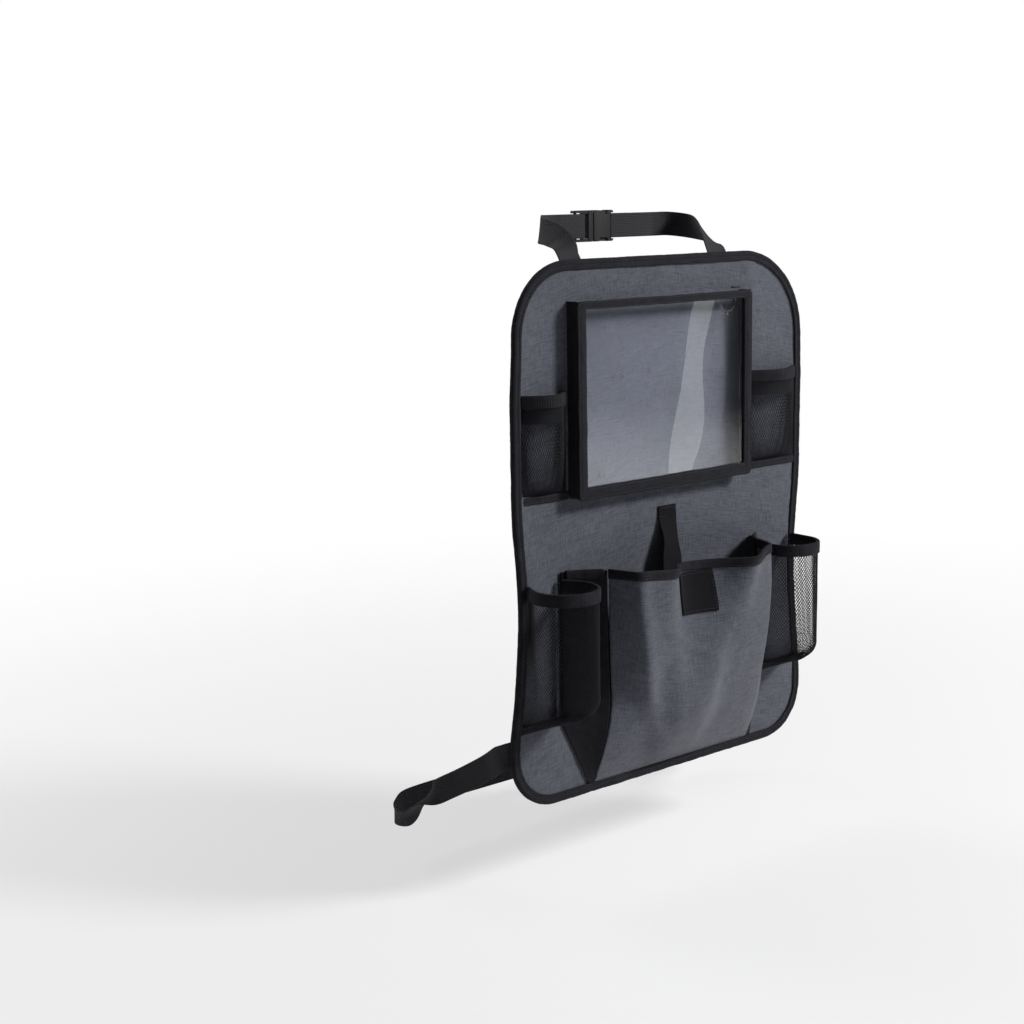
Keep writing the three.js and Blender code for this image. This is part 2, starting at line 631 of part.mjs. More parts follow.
function gussetSurface(sideName) {
  const side = sideName === 'left' ? -1 : 1;
  const seamX = gussetSeamX(sideName);
  const foldShare = (GUSSET_FOLD_Z - pocketBottomZ) / (FRONT_CORNER_Z - pocketBottomZ);
  return (u, v) => {
    const z = lerp(pocketBottomZ, FRONT_CORNER_Z, v);
    const fromFold = clamp01(v / foldShare);
    const back = new THREE.Vector3(lerp(FRONT_BOTTOM_HALF + GUSSET_BOTTOM_WIDTH, seamX, fromFold), pocketSeamY, z);
    const { seam, seamDepth } = frontCorner(sideName, v);
    const front = new THREE.Vector3(seam, pocketSeamY - seamDepth, z);
    const away = back.clone().sub(front).normalize();
    front.addScaledVector(away, SEAM_SETBACK);
    const point = back.lerp(front, u);
    point.x -= GUSSET_HOLLOW * Math.sin(Math.PI * u) * seamDepth / FRONT_SEAM_DEPTH;
    point.x *= side;
    return point;
  };
}

function makeDeepPocket() {
  addPart('deep_pocket_front', clothSheet(pocketFrontSurface, 30, 11, FABRIC), GREY_CLOTH);
  const frontTape = edgeTape(pocketFrontSurface, 30, FABRIC, TAPE, POCKET_BINDING_HEIGHT);
  addPart('deep_pocket_front_binding', frontTape, BLACK_TAPE);
  for (const sideName of ['left', 'right']) {
    const gusset = gussetSurface(sideName);
    addPart(`deep_pocket_${sideName}_gusset`, clothSheet(gusset, 6, 12, FABRIC), BLACK_TAPE);
    const gussetTape = edgeTape(gusset, 6, FABRIC, TAPE, POCKET_BINDING_HEIGHT, 0.09, 0.9);
    addPart(`deep_pocket_${sideName}_gusset_binding`, gussetTape, BLACK_TAPE);
  }
}

// Loop patch on the outside of the pocket front, below its binding
function makeLoopPatch() {
  const height = FRONT_CORNER_Z - FRONT_SAG - pocketBottomZ;
  const topShare = 1 - (POCKET_BINDING_HEIGHT + 2 * GAP) / height;
  const bottomShare = topShare - PATCH_HEIGHT / height;
  const { halfLength } = frontCorner('left', 1);
  const middle = 0.5 + PATCH_CENTRE_X / (2 * halfLength);
  const halfShare = PATCH_WIDTH / (4 * halfLength);
  const lift = FABRIC / 2 + 2 * GAP + TAPE / 2;
  const patch = (u, v) => {
    const at = [lerp(middle - halfShare, middle + halfShare, u), lerp(bottomShare, topShare, v)];
    const normal = surfaceNormal(pocketFrontSurface, ...at);
    if (normal.y > 0) normal.negate();
    return pocketFrontSurface(...at).addScaledVector(normal, lift);
  };
  addPart('loop_patch', clothSheet(patch, 8, 6, TAPE), BLACK_WEBBING);
}

// Closing tab: sewn to the panel above the pocket, hanging into it with a slight turn
function makeClosureTab() {
  const seamY = FRONT_FACE - GAP - WEBBING / 2;
  const hanging = (swing, hang, drop, ...across) => [
    TAB_X - swing * TAB_SWING, seamY - hang * TAB_HANG, TAB_TOP_Z - drop * TAB_LENGTH, ...across,
  ];
  const run = strapRun([
    hanging(0, 0, 0, 1, 0, 0),
    hanging(0, 0.06, 0.14, 1, 0, 0),
    hanging(0.25, 0.44, 0.36, 0.95, 0.25, 0),
    hanging(0.75, 0.7, 0.61, 0.95, 0.2, 0),
    hanging(1, 1, 1, 1, -0.1, 0),
  ], 14);
  addPart('closure_tab', webbingStrip(run.points, run.acrosses), BLACK_WEBBING);
}

// Cross bar of a buckle, round, reaching a little into the side rails
function buckleBar(x) {
  const bar = new THREE.CylinderGeometry(BAR_RADIUS, BAR_RADIUS, WEB_SLOT + BAR_RADIUS, 12);
  bar.rotateX(Math.PI / 2);
  bar.translate(x, 0, 0);
  return toSolid(bar);
}

function buckleSlab(left, right, halfWidth, radius, thickness, edge = 0) {
  return toSolid(slab(roundedRectangle(left, right, -halfWidth, halfWidth, radius), thickness, thickness / 2, edge));
}

// Socket: a flat housing, open at the mouth, with a window in each side for the prong heads
function buckleSocket() {
  let socket = buckleSlab(0.3, SOCKET_LENGTH, BUCKLE_WIDTH / 2, 3, BUCKLE_THICKNESS, BUCKLE_EDGE);
  const cavityHalf = BUCKLE_WIDTH / 2 - SOCKET_WALL;
  socket = socket.subtract(buckleSlab(-4, SOCKET_DEPTH, cavityHalf, 2, PRONG_THICKNESS + 2 * PRONG_CLEARANCE));
  for (const side of [-1, 1]) {
    const inner = (cavityHalf - WINDOW_LIP) * side;
    const outer = (BUCKLE_WIDTH / 2 + SOCKET_WALL) * side;
    const window = roundedRectangle(LATCH_X, LATCH_X + LATCH_LENGTH, Math.min(inner, outer), Math.max(inner, outer), 2);
    socket = socket.subtract(toSolid(slab(window, 2 * BUCKLE_THICKNESS, BUCKLE_THICKNESS)));
  }
  const slot = buckleSlab(SOCKET_DEPTH + 1.5, SOCKET_LENGTH + 8, WEB_SLOT / 2, 1, 2 * BUCKLE_THICKNESS);
  return toGeometry(socket.subtract(slot).add(buckleBar(SOCKET_BAR_X)));
}

// One sprung arm of the plug with the hooked head that shows in the socket's window
function prongShape(side) {
  const head = LATCH_X + PRONG_CLEARANCE;
  const tip = LATCH_X + LATCH_LENGTH - PRONG_CLEARANCE;
  const length = tip - head;
  const half = side * BUCKLE_WIDTH / 2;
  const face = side * (BUCKLE_WIDTH / 2 - GAP);
  const root = -PRONG_CLEARANCE * 2;
  const shape = new THREE.Shape();
  shape.moveTo(root, 0.34 * half);
  shape.lineTo(root, 0.57 * half);
  shape.quadraticCurveTo(head * 0.6, 0.6 * half, head, 0.66 * half);
  shape.lineTo(head, 0.92 * face);
  shape.quadraticCurveTo(head, face, head + 0.14 * length, face);
  shape.lineTo(tip - 0.34 * length, face);
  shape.quadraticCurveTo(tip, 0.97 * face, tip, 0.81 * face);
  shape.quadraticCurveTo(tip, 0.69 * half, tip - 0.26 * length, 0.68 * half);
  shape.quadraticCurveTo(head, 0.51 * half, root, 0.34 * half);
  return shape;
}

// Plug: a shoulder, two sprung arms and a guide tongue, and an adjuster frame with two bars
function bucklePlug() {
  let plug = buckleSlab(-SHOULDER_LENGTH, 0, BUCKLE_WIDTH / 2, 1.5, BUCKLE_THICKNESS, BUCKLE_EDGE);
  let frame = buckleSlab(-PLUG_LENGTH, -SHOULDER_LENGTH + 2, BUCKLE_WIDTH / 2, 1.5, BUCKLE_THICKNESS - 1.6, BUCKLE_EDGE);
  const slot = buckleSlab(-PLUG_LENGTH - 8, -SHOULDER_LENGTH, WEB_SLOT / 2, 1, 2 * BUCKLE_THICKNESS);
  frame = frame.subtract(slot).add(buckleBar(PLUG_BAR_X)).add(buckleBar(PLUG_OUTER_BAR_X));
  plug = plug.subtract(slot).add(frame);
  for (const side of [-1, 1]) {
    plug = plug.add(toSolid(slab(prongShape(side), PRONG_THICKNESS, PRONG_THICKNESS / 2)));
  }
  return toGeometry(plug.add(buckleSlab(-1, SOCKET_DEPTH - 3, 2.3, 1, PRONG_THICKNESS)));
}

function addBuckle(name, at) {
  const place = new THREE.Group();
  place.position.set(...at);
  addPart(`${name}_buckle_socket`, buckleSocket(), BLACK_PLASTIC, place);
  addPart(`${name}_buckle_plug`, bucklePlug(), BLACK_PLASTIC, place);
  organizer.add(place);
}

// The headrest strap: sewn to the back of the panel, over its top edge and round the headrest posts
function makeHeadrestStrap() {
  const [buckleX, buckleY, buckleZ] = HEADREST_BUCKLE;
  addBuckle('headrest', HEADREST_BUCKLE);
  const top = PANEL_HEIGHT / 2;
  const sewnY = GAP + WEBBING / 2;
  const overTapeY = BINDING_TAPE + 4 * GAP + WEBBING / 2;
  const runY = buckleY - TURN_RADIUS;
  const start = top - BINDING_FACE - STRAP_SEAM;
  const rise = buckleZ - top;
  const sewn = (seam, lean, y, share, ...across) => [seam - lean * HEADREST_LEAN, y, start + share * STRAP_SEAM, ...across];
  const free = (seam, lean, back, up, ...across) => [
    seam - lean * HEADREST_LEAN, overTapeY + back * (buckleY - overTapeY), top + up * rise, ...across,
  ];
  const level = (span, y) => [span * HEADREST_HALF_SPAN, y, buckleZ, 0, 0, 1];
  const roundPost = overTapeY + 0.9 * (buckleY - overTapeY);
  const leftRoute = [
    sewn(-HEADREST_SEAM_X, 0, sewnY, 0, 1, 0, 0),
    sewn(-HEADREST_SEAM_X, 0.15, sewnY, 0.44, 1, 0, 0.2),
    sewn(-HEADREST_SEAM_X, 0.6, overTapeY, 0.91, 1, 0, 0.35),
    free(-HEADREST_SEAM_X, 1, 0.005, 0.13, 1, 0, 0.3),
    free(-HEADREST_SEAM_X, 0.95, 0.1, 0.5, 0.95, 0, 0.5),
    free(-HEADREST_SEAM_X, 0.7, 0.35, 0.77, 0.7, 0, 0.8),
    free(-HEADREST_SEAM_X, 0.3, 0.69, 0.93, 0.2, 0, 1),
    level(-1, roundPost),
    level(-0.82, runY),
    level(-0.68, runY),
  ];
  const rightRoute = [
    sewn(HEADREST_SEAM_X, 0, sewnY, 0, -1, 0, 0),
    sewn(HEADREST_SEAM_X, 0.15, sewnY, 0.44, -1, 0, -0.2),
    sewn(HEADREST_SEAM_X, 0.6, overTapeY, 0.91, -1, 0, -0.3),
    free(HEADREST_SEAM_X, 1, 0.005, 0.13, -1, 0, -0.1),
    free(HEADREST_SEAM_X, 1, 0.1, 0.47, -0.9, 0, 0.4),
    free(HEADREST_SEAM_X, 0.4, 0.35, 0.7, -0.6, 0, 0.8),
    free(HEADREST_SEAM_X, 0.1, 0.67, 0.9, -0.1, 0, 1),
    level(1, roundPost),
    level(0.82, runY),
    level(0.68, runY),
  ];
  const left = strapTurn(strapRun(leftRoute, 36), buckleX + PLUG_BAR_X, buckleY, 1, HEADREST_TAIL);
  const right = strapTurn(strapRun(rightRoute, 36), buckleX + SOCKET_BAR_X, buckleY, -1, SEWN_TAIL);
  addPart('headrest_strap_left', left, BLACK_WEBBING);
  addPart('headrest_strap_right', right, BLACK_WEBBING);
}

// The side strap: from behind each lower corner, along the seat and across in front of its back
function makeSideStrap() {
  const [buckleX, buckleY, buckleZ] = SIDE_BUCKLE;
  addBuckle('side', SIDE_BUCKLE);
  const sewnY = GAP + WEBBING / 2;
  const overTapeY = BINDING_TAPE + 4 * GAP + WEBBING / 2;
  const runY = buckleY - TURN_RADIUS;
  const z = SIDE_STRAP_Z;
  const edge = halfWidthAt(z) + BINDING_TAPE + GAP;
  const inner = edge - BINDING_FACE;
  const back = runY - overTapeY;
  const drop = buckleZ - z;
  const route = (side, twist) => {
    const turned = 1 - 2 * twist;
    const sewn = (x, y) => [side * x, y, z, 0, 0, 1];
    const free = (out, depth, down, ...across) => [
      side * (edge + out * SIDE_SPREAD), overTapeY + depth * back, z + down * drop, ...across,
    ];
    return [
      sewn(inner - 0.88 * STRAP_SEAM, sewnY),
      sewn(inner - 0.41 * STRAP_SEAM, sewnY),
      sewn(inner - 0.12 * STRAP_SEAM, overTapeY),
      sewn(edge - 2 * BINDING_TAPE, overTapeY + GAP),
      free(0.13, 0.028, 0.03, 0, 0, 1),
      free(0.23, 0.145, 0.19, 0, 0.3, 1),
      free(0.5, 0.3, 0.38, 0, 0.5, 1),
      free(0.77, 0.43, 0.53, 0, 0.5, 1),
      free(0.93, 0.535, 0.66, twist, 0.5 * (1 - twist), 1 - 0.6 * twist),
      free(1, 0.635, 0.83, twist, 0.5 * (1 - twist), 1 - twist),
      free(0.93, 0.755, 0.98, 0.5 * twist, 0.4 - 0.8 * twist, 1 - 1.8 * twist),
      free(0.67, 0.88, 1.01, 0, 0, turned),
      free(-0.07, 0.97, 1, 0, 0, turned),
      free(-1.17, 1, 1, 0, 0, turned),
      [side * 0.57 * edge, runY, buckleZ, 0, 0, turned],
      [side * 0.24 * edge, runY, buckleZ, 0, 0, turned],
    ];
  };
  const left = strapTurn(strapRun(route(-1, 1), 50), buckleX + PLUG_BAR_X, buckleY, 1, SIDE_TAIL);
  const right = strapTurn(strapRun(route(1, 0), 50), buckleX + SOCKET_BAR_X, buckleY, -1, SEWN_TAIL);
  addPart('side_strap_left', left, BLACK_WEBBING);
  addPart('side_strap_right', right, BLACK_WEBBING);
}

makePanel();
makeEdgeBinding();
makeTabletPocket();
makeSmallPocket('left');
makeSmallPocket('right');
makeBottlePocket('left');
makeBottlePocket('right');
makeDeepPocket();
makeLoopPatch();
makeClosureTab();
makeHeadrestStrap();
makeSideStrap();

export default organizer;
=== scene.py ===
import math

import bmesh
import bpy
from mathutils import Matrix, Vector, noise


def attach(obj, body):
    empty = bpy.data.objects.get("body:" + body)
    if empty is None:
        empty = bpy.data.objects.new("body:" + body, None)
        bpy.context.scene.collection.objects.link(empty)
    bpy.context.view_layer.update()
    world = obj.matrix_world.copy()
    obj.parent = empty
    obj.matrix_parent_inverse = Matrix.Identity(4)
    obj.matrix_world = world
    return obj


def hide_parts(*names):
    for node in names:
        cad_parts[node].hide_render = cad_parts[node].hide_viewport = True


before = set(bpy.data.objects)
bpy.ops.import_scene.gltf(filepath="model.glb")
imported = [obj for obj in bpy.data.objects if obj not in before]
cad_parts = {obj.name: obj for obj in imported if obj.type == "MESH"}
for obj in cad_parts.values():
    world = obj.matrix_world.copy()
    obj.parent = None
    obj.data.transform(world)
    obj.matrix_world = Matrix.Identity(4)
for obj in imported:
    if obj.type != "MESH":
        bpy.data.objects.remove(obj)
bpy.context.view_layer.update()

scene = bpy.context.scene
scene.view_settings.view_transform = "Standard"
bpy.ops.object.select_all(action="DESELECT")

# Camera
# It stands where the photograph was taken from, left of the panel's middle and a little above it.
# The lens and the angles were solved from the panel's outline and from corners inside its window.
bpy.ops.object.camera_add(
    location=(-1.26907, -1.26153, 0.33378),
    rotation=(math.radians(79.6736), math.radians(0.9682), math.radians(-40.3596)),
)
camera = bpy.context.object
camera.data.lens = 61.93
camera.data.sensor_width = 36
scene.camera = camera

# Floor and room
# A plain white floor well below the straps, in a white room, so that only a soft shadow shows.
# The floor keeps its shadow: what the camera sees is part plain white and part lit paint.
FLOOR_Z = -0.36
bpy.ops.mesh.primitive_plane_add(size=14, location=(0, 0, FLOOR_Z))
floor = bpy.context.object
floor.name = "floor"


def node_after(material, kind, *links, **settings):
    """Adds a shader node of a kind such as Bump, sets its values and joins (output, input) pairs to it."""
    node = material.node_tree.nodes.new("ShaderNode" + kind)
    for setting, value in settings.items():
        if hasattr(node, setting):
            setattr(node, setting, value)
        else:
            node.inputs[setting.replace("_", " ")].default_value = value
    for output, name in links:
        material.node_tree.links.new(output, node.inputs[name])
    return node


def plain_material(name, colour, roughness, **settings):
    """A material of one colour. Settings name more inputs of its shader, with _ for each space."""
    material = bpy.data.materials.new(name)
    material.use_nodes = True
    shader = material.node_tree.nodes["Principled BSDF"]
    shader.inputs["Base Color"].default_value = (*colour, 1)
    shader.inputs["Roughness"].default_value = roughness
    for setting, value in settings.items():
        shader.inputs[setting.replace("_", " ")].default_value = value
    return material, shader


def split_by_ray(owner, ray, others_see, this_sees):
    """Shows one shader to rays of one kind and another shader to all other rays."""
    path = node_after(owner, "LightPath")
    mix = node_after(owner, "MixShader", (path.outputs[ray], "Fac"),
                     (others_see.outputs[0], 1), (this_sees.outputs[0], 2))
    output = next(node for node in owner.node_tree.nodes if node.type.startswith("OUTPUT"))
    owner.node_tree.links.new(mix.outputs["Shader"], output.inputs["Surface"])


floor_paint, lit_paint = plain_material("floor_paint", (0.86, 0.86, 0.86), 0.9)
floor_spot = node_after(floor_paint, "TexCoord").outputs["Object"]
floor_distance = node_after(floor_paint, "VectorMath", (floor_spot, 0), operation="LENGTH")
floor_fade = node_after(floor_paint, "MapRange", (floor_distance.outputs["Value"], "Value"),
                        interpolation_type="SMOOTHSTEP", From_Min=0.35, From_Max=1.9, To_Min=0.6)
plain_white = node_after(floor_paint, "Emission")
seen_paint = node_after(floor_paint, "MixShader", (floor_fade.outputs["Result"], "Fac"),
                        (lit_paint.outputs["BSDF"], 1), (plain_white.outputs["Emission"], 2))
split_by_ray(floor_paint, "Is Camera Ray", lit_paint, seen_paint)
floor.data.materials.append(floor_paint)

room = bpy.data.worlds.new("room")
scene.world = room
room.use_nodes = True
room_light = room.node_tree.nodes["Background"]
room_light.inputs["Color"].default_value = (0.94, 0.97, 1, 1)
room_light.inputs["Strength"].default_value = 0.1
room_seen = node_after(room, "Background", Color=(1, 1, 1, 1))
split_by_ray(room, "Is Camera Ray", room_light, room_seen)


def softbox(name, place, size, power):
    bpy.ops.object.light_add(type="AREA", location=place)
    box = bpy.context.object
    box.name = name
    box.data.shape = "DISK"
    box.data.size = size
    box.data.energy = power
    box.rotation_euler = (-Vector(place)).to_track_quat("-Z", "Y").to_euler()
    box.visible_transmission = False


softbox("key_light", (1.75, -2.0, 1.7), 0.8, 106)
softbox("fill_light", (-2.1, -1.5, 1.1), 1.4, 1.5)
softbox("back_light", (-0.6, 2.1, 1.4), 1.6, 20)
softbox("window_strip", (1.34, -1.27, -0.02), 0.5, 0.11)
strip = bpy.context.object
strip.data.shape = "RECTANGLE"
strip.data.size = 0.036
strip.data.size_y = 0.46
strip.rotation_euler.rotate_axis("Z", math.radians(-9))

# Grey panel
# A pad of heather cloth, 412 by 534 mm and 2.4 mm thick, cut with round corners and sewn flat.
# Its left edge and its top right corner curl a little forward, and its face puckers near the edge.
MM = 0.001
PANEL_WIDTH = 412
PANEL_HEIGHT = 534
PANEL_THICKNESS = 3
TOP_RADIUS = {-1: 72, 1: 88}
BOTTOM_RADIUS = 54
GAP = 0.3
TOP = PANEL_HEIGHT / 2


def uneven(*spot):
    return noise.noise(Vector(spot))


def arch(share):
    return math.sin(math.pi * share)


def bell(value, centre, reach):
    """1 at the centre, falling smoothly to 0 at the reach."""
    return math.cos(min(1, abs(value - centre) / reach) * math.pi / 2) ** 2


def half_width(z, side=-1):
    shoulder = (3.5 if side < 0 else 1.5) * bell(z, 200, 75)
    return PANEL_WIDTH / 2 - 7 * bell(z, -66, 110) - shoulder + 4 * bell(z, -208, 60)


def outline_half(side, z, inset=0):
    top_radius = TOP_RADIUS[side]
    if z > TOP - top_radius:
        radius = top_radius - inset
        rise = min(radius, z - (TOP - top_radius))
        return half_width(TOP - top_radius, side) - top_radius + math.sqrt(radius ** 2 - rise ** 2)
    if z < BOTTOM_RADIUS - TOP:
        radius = BOTTOM_RADIUS - inset
        drop = min(radius, (BOTTOM_RADIUS - TOP) - z)
        return half_width(BOTTOM_RADIUS - TOP) - BOTTOM_RADIUS + math.sqrt(radius ** 2 - drop ** 2)
    return half_width(z, side) - inset


def lean(x, z):
    """How far the panel curls forward along its left edge and at its top right corner."""
    if x > 0:
        return -0.8 * (max(0, x - 150) / 56) ** 2 * min(1, max(0, (z - 60) / 110))
    held_back = bell(z, -208, 70) if z > -208 else 1
    return -3.4 * (max(0, -x - 150) / 56) ** 2 * (1 - held_back)


def relief(x, z):
    """Soft unevenness of the sewn panel: broad waves, puckers by the binding, pulls below the seams."""
    spot = Vector((x / 85, z / 70, 3.1))
    height = 0.9 * noise.noise(spot) + 0.35 * noise.noise(spot * 2.7)
    edge = min(outline_half(1 if x > 0 else -1, z, 10) - abs(x), TOP - 10 - abs(z))
    close = math.exp(-((max(0, edge) / 16) ** 2))
    height += 0.6 * close * uneven(x / 11, z / 11, 7.7)
    fold = (x - 118) * 0.96 + (z - 269) * 0.28
    height += 1.2 * math.exp(-((fold / 9) ** 2)) * min(1, max(0, (z - 150) / 40))
    return max(-1.3, min(1.3, height))


def apply_modifier(piece, kind, **settings):
    modifier = piece.modifiers.new(kind.lower(), kind)
    for setting, value in settings.items():
        setattr(modifier, setting, value)
    bpy.context.view_layer.objects.active = piece
    bpy.ops.object.modifier_apply(modifier=modifier.name)


def new_mesh(name, points, faces):
    mesh = bpy.data.meshes.new(name)
    mesh.from_pydata(points, [], faces)
    return mesh


def add_piece(name, mesh, finish):
    """Puts a new mesh into the scene as a piece of the object."""
    piece = bpy.data.objects.new(name, mesh)
    scene.collection.objects.link(piece)
    mesh.materials.append(finish)
    for face in mesh.polygons:
        face.use_smooth = True
    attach(piece, "root")
    return piece


def lengths_along(points):
    """The length of the way to each point, from the first."""
    run = [0]
    for before, after in zip(points, points[1:]):
        run.append(run[-1] + (after - before).length)
    return run


def cloth(name, surface, across, down, thickness, finish):
    """A sheet of cloth over surface(u, v), with a UV map in metres that follows its weave."""
    rows = [[Vector(surface(u, v)) * MM for u in across] for v in down]
    wide = len(across)
    tall = len(down)
    faces = [(j * wide + i, j * wide + i + 1, (j + 1) * wide + i + 1, (j + 1) * wide + i)
             for j in range(tall - 1) for i in range(wide - 1)]
    mesh = new_mesh(name, [point for row in rows for point in row], faces)
    along = []
    for row in rows:
        run = lengths_along(row)
        along.append([length - run[-1] / 2 for length in run])
    rise = [[0] * wide]
    for before, after in zip(rows, rows[1:]):
        rise.append([low + (b - a).length for low, a, b in zip(rise[-1], before, after)])
    layer = mesh.uv_layers.new(name="cloth")
    for loop in mesh.loops:
        j, i = divmod(loop.vertex_index, wide)
        layer.data[loop.index].uv = (along[j][i], rise[j][i])
    piece = add_piece(name, mesh, finish)
    apply_modifier(piece, "SOLIDIFY", thickness=thickness * MM, offset=0)
    return piece


def shares(count):
    return [i / count for i in range(count + 1)]


def on_cloth(material):
    return node_after(material, "UVMap", uv_map="cloth").outputs["UV"]


def in_object(material):
    return node_after(material, "TexCoord").outputs["Object"]


def add_bump(material, shader, height, strength, distance):
    bump = node_after(material, "Bump", (height, "Height"), Strength=strength, Distance=distance)
    material.node_tree.links.new(bump.outputs["Normal"], shader.inputs["Normal"])


def add_tone(material, shader, source, dark, light, low=0.0, high=1.0):
    """Colours the material from dark to light while the source rises from low to high."""
    ramp = node_after(material, "ValToRGB", (source, "Fac"))
    for stop, place, colour in zip(ramp.color_ramp.elements, (low, high), (dark, light)):
        stop.position = place
        stop.color = (*colour, 1)
    material.node_tree.links.new(ramp.outputs["Color"], shader.inputs["Base Color"])


def stretched_noise(material, source, size_u, size_v, detail, centre=0.0):
    """Noise whose grains measure size_u by size_v millimetres on the cloth."""
    place = node_after(material, "Mapping", (source, "Vector"),
                       Scale=(1000 / size_u, 1000 / size_v, 1), Location=(centre, centre, centre))
    grain = node_after(material, "TexNoise", (place.outputs["Vector"], "Vector"),
                       Scale=1, Detail=detail, Roughness=0.6)
    return grain.outputs["Fac"]


def arithmetic(material, operation, first, second=0):
    node = node_after(material, "Math", operation=operation)
    for slot_index, value in enumerate((first, second)):
        if isinstance(value, (int, float)):
            node.inputs[slot_index].default_value = value
        else:
            material.node_tree.links.new(value, node.inputs[slot_index])
    return node.outputs["Value"]


def thread_height(material, source, pitch):
    """Plain weave in millimetres: warp and weft threads that pass over and under each other."""
    place = node_after(material, "Mapping", (source, "Vector"), Scale=(math.pi * 1000 / pitch,) * 3)
    parts = node_after(material, "SeparateXYZ", (place.outputs["Vector"], "Vector"))
    warp = arithmetic(material, "SINE", parts.outputs["X"])
    weft = arithmetic(material, "SINE", parts.outputs["Y"])
    crossing = arithmetic(material, "MULTIPLY", warp, weft)
    return arithmetic(material, "ABSOLUTE", crossing)


# Heather cloth mixes dark and light yarns along warp and weft, over a fine plain weave.
DARK_YARN = (0.042, 0.0445, 0.0575)
LIGHT_YARN = (0.112, 0.118, 0.15)
grey_cloth, grey_shader = plain_material("grey_heather_cloth", DARK_YARN, 0.88, Sheen_Weight=0.18,
                                         Sheen_Roughness=0.5, Specular_IOR_Level=0.25)
grey_uv = on_cloth(grey_cloth)
warp = stretched_noise(grey_cloth, grey_uv, 1.1, 13, 3)
weft = stretched_noise(grey_cloth, grey_uv, 12, 1.2, 3, 31.7)
cloud = stretched_noise(grey_cloth, grey_uv, 55, 70, 2, 11.3)
yarns = arithmetic(grey_cloth, "ADD", warp, weft)
mixed = arithmetic(grey_cloth, "ADD", yarns, arithmetic(grey_cloth, "MULTIPLY", cloud, 0.35))
tone = node_after(grey_cloth, "MapRange", (mixed, "Value"), From_Min=0.86, From_Max=1.48)
add_tone(grey_cloth, grey_shader, tone.outputs["Result"], DARK_YARN, LIGHT_YARN)
weave = thread_height(grey_cloth, grey_uv, 0.9)
height = arithmetic(grey_cloth, "ADD", weave, arithmetic(grey_cloth, "MULTIPLY", yarns, 1.4))
add_bump(grey_cloth, grey_shader, height, 0.55, 0.00035)

TALL_CORNER = TOP_RADIUS[1]
STRAIGHT_HEIGHT = PANEL_HEIGHT - BOTTOM_RADIUS - TALL_CORNER
panel_rows = [-TOP + 1 + (BOTTOM_RADIUS - 1) * (1 - math.cos(i / 16 * math.pi / 2)) for i in range(16)]
panel_rows += [-TOP + BOTTOM_RADIUS + i / 114 * STRAIGHT_HEIGHT for i in range(114)]
panel_rows += [TOP - 1 - (TALL_CORNER - 1) * (1 - math.sin(i / 26 * math.pi / 2)) for i in range(27)]


def panel_surface(u, z):
    x = -outline_half(-1, z, 1) * (1 - u) + outline_half(1, z, 1) * u
    return x, -PANEL_THICKNESS / 2 - relief(x, z) + lean(x, z), z


panel = cloth("grey_panel", panel_surface, shares(110), panel_rows, PANEL_THICKNESS - 0.6,
              grey_cloth)
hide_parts("back_panel")

# Edge binding
# Black woven tape, folded round the panel's edge and sewn through: 10 mm shows on each face.
# The fold stands up as a soft roll, and a row of lockstitch runs along the flat of the tape.
BINDING_FACE = 10
BINDING_PROUD = 1.5

# Woven tape has fine ribs across its length, and a little dust-grey variation in the black.
TAPE_BLACK = (0.0105, 0.0105, 0.0142)
black_tape, tape_shader = plain_material("black_tape", TAPE_BLACK, 0.72, Sheen_Weight=0.05,
                                         Sheen_Roughness=0.45, Specular_IOR_Level=0.12)
tape_uv = on_cloth(black_tape)
tape_patch = stretched_noise(black_tape, tape_uv, 9, 14, 3)
add_tone(black_tape, tape_shader, tape_patch, [0.72 * part for part in TAPE_BLACK],
         [1.5 * part for part in TAPE_BLACK], 0.3, 0.72)
tape_rough = stretched_noise(black_tape, tape_uv, 1.5, 1.5, 2, 5.1)
tape_height = arithmetic(black_tape, "ADD", thread_height(black_tape, tape_uv, 0.8), tape_rough)
add_bump(black_tape, tape_shader, tape_height, 0.6, 0.0003)


def turn_outwards(mesh):
    """Makes every face of a closed mesh look outwards."""
    shell = bmesh.new()
    shell.from_mesh(mesh)
    bmesh.ops.recalc_face_normals(shell, faces=shell.faces)
    shell.to_mesh(mesh)
    shell.free()


def tube_faces(first, rings, count, closed=False):
    """Faces round rings of points, counted from the first point, and at both ends if it isn't closed."""
    faces = []
    for i in range(rings if closed else rings - 1):
        low = first + i * count
        high = first + (i + 1) % rings * count
        for j in range(count):
            k = (j + 1) % count
            faces.append((low + j, low + k, high + k, high + j))
    if not closed:
        last = first + (rings - 1) * count
        faces += [tuple(range(end, end + count)) for end in (first, last)]
    return faces


def band(name, stations, profile, finish=black_tape, closed=False):
    """Sweeps a closed profile along stations of (point, side, up), with a UV map in metres."""
    count = len(profile)
    rings = [[(at + side * a + up * b) * MM for a, b in profile] for at, side, up in stations]
    mesh = new_mesh(name, [point for ring in rings for point in ring],
                    tube_faces(0, len(rings), count, closed))
    run = lengths_along([at * MM for at, _, _ in stations + stations[:1]])
    girth = [0]
    for j in range(count):
        before, after = profile[j], profile[(j + 1) % count]
        size = math.dist(before, after) * stations[0][1].length
        girth.append(girth[-1] + size * MM)
    layer = mesh.uv_layers.new(name="cloth")
    for face in range((len(rings) if closed else len(rings) - 1) * count):
        i, j = divmod(face, count)
        for corner, (a, b) in enumerate(((j, i), (j + 1, i), (j + 1, i + 1), (j, i + 1))):
            layer.data[face * 4 + corner].uv = (girth[a], run[b])
    turn_outwards(mesh)
    return add_piece(name, mesh, finish)


towards_us = Vector((0, -1, 0))
thread, _ = plain_material("black_thread", (0.03, 0.03, 0.037), 0.5, Specular_IOR_Level=0.3)


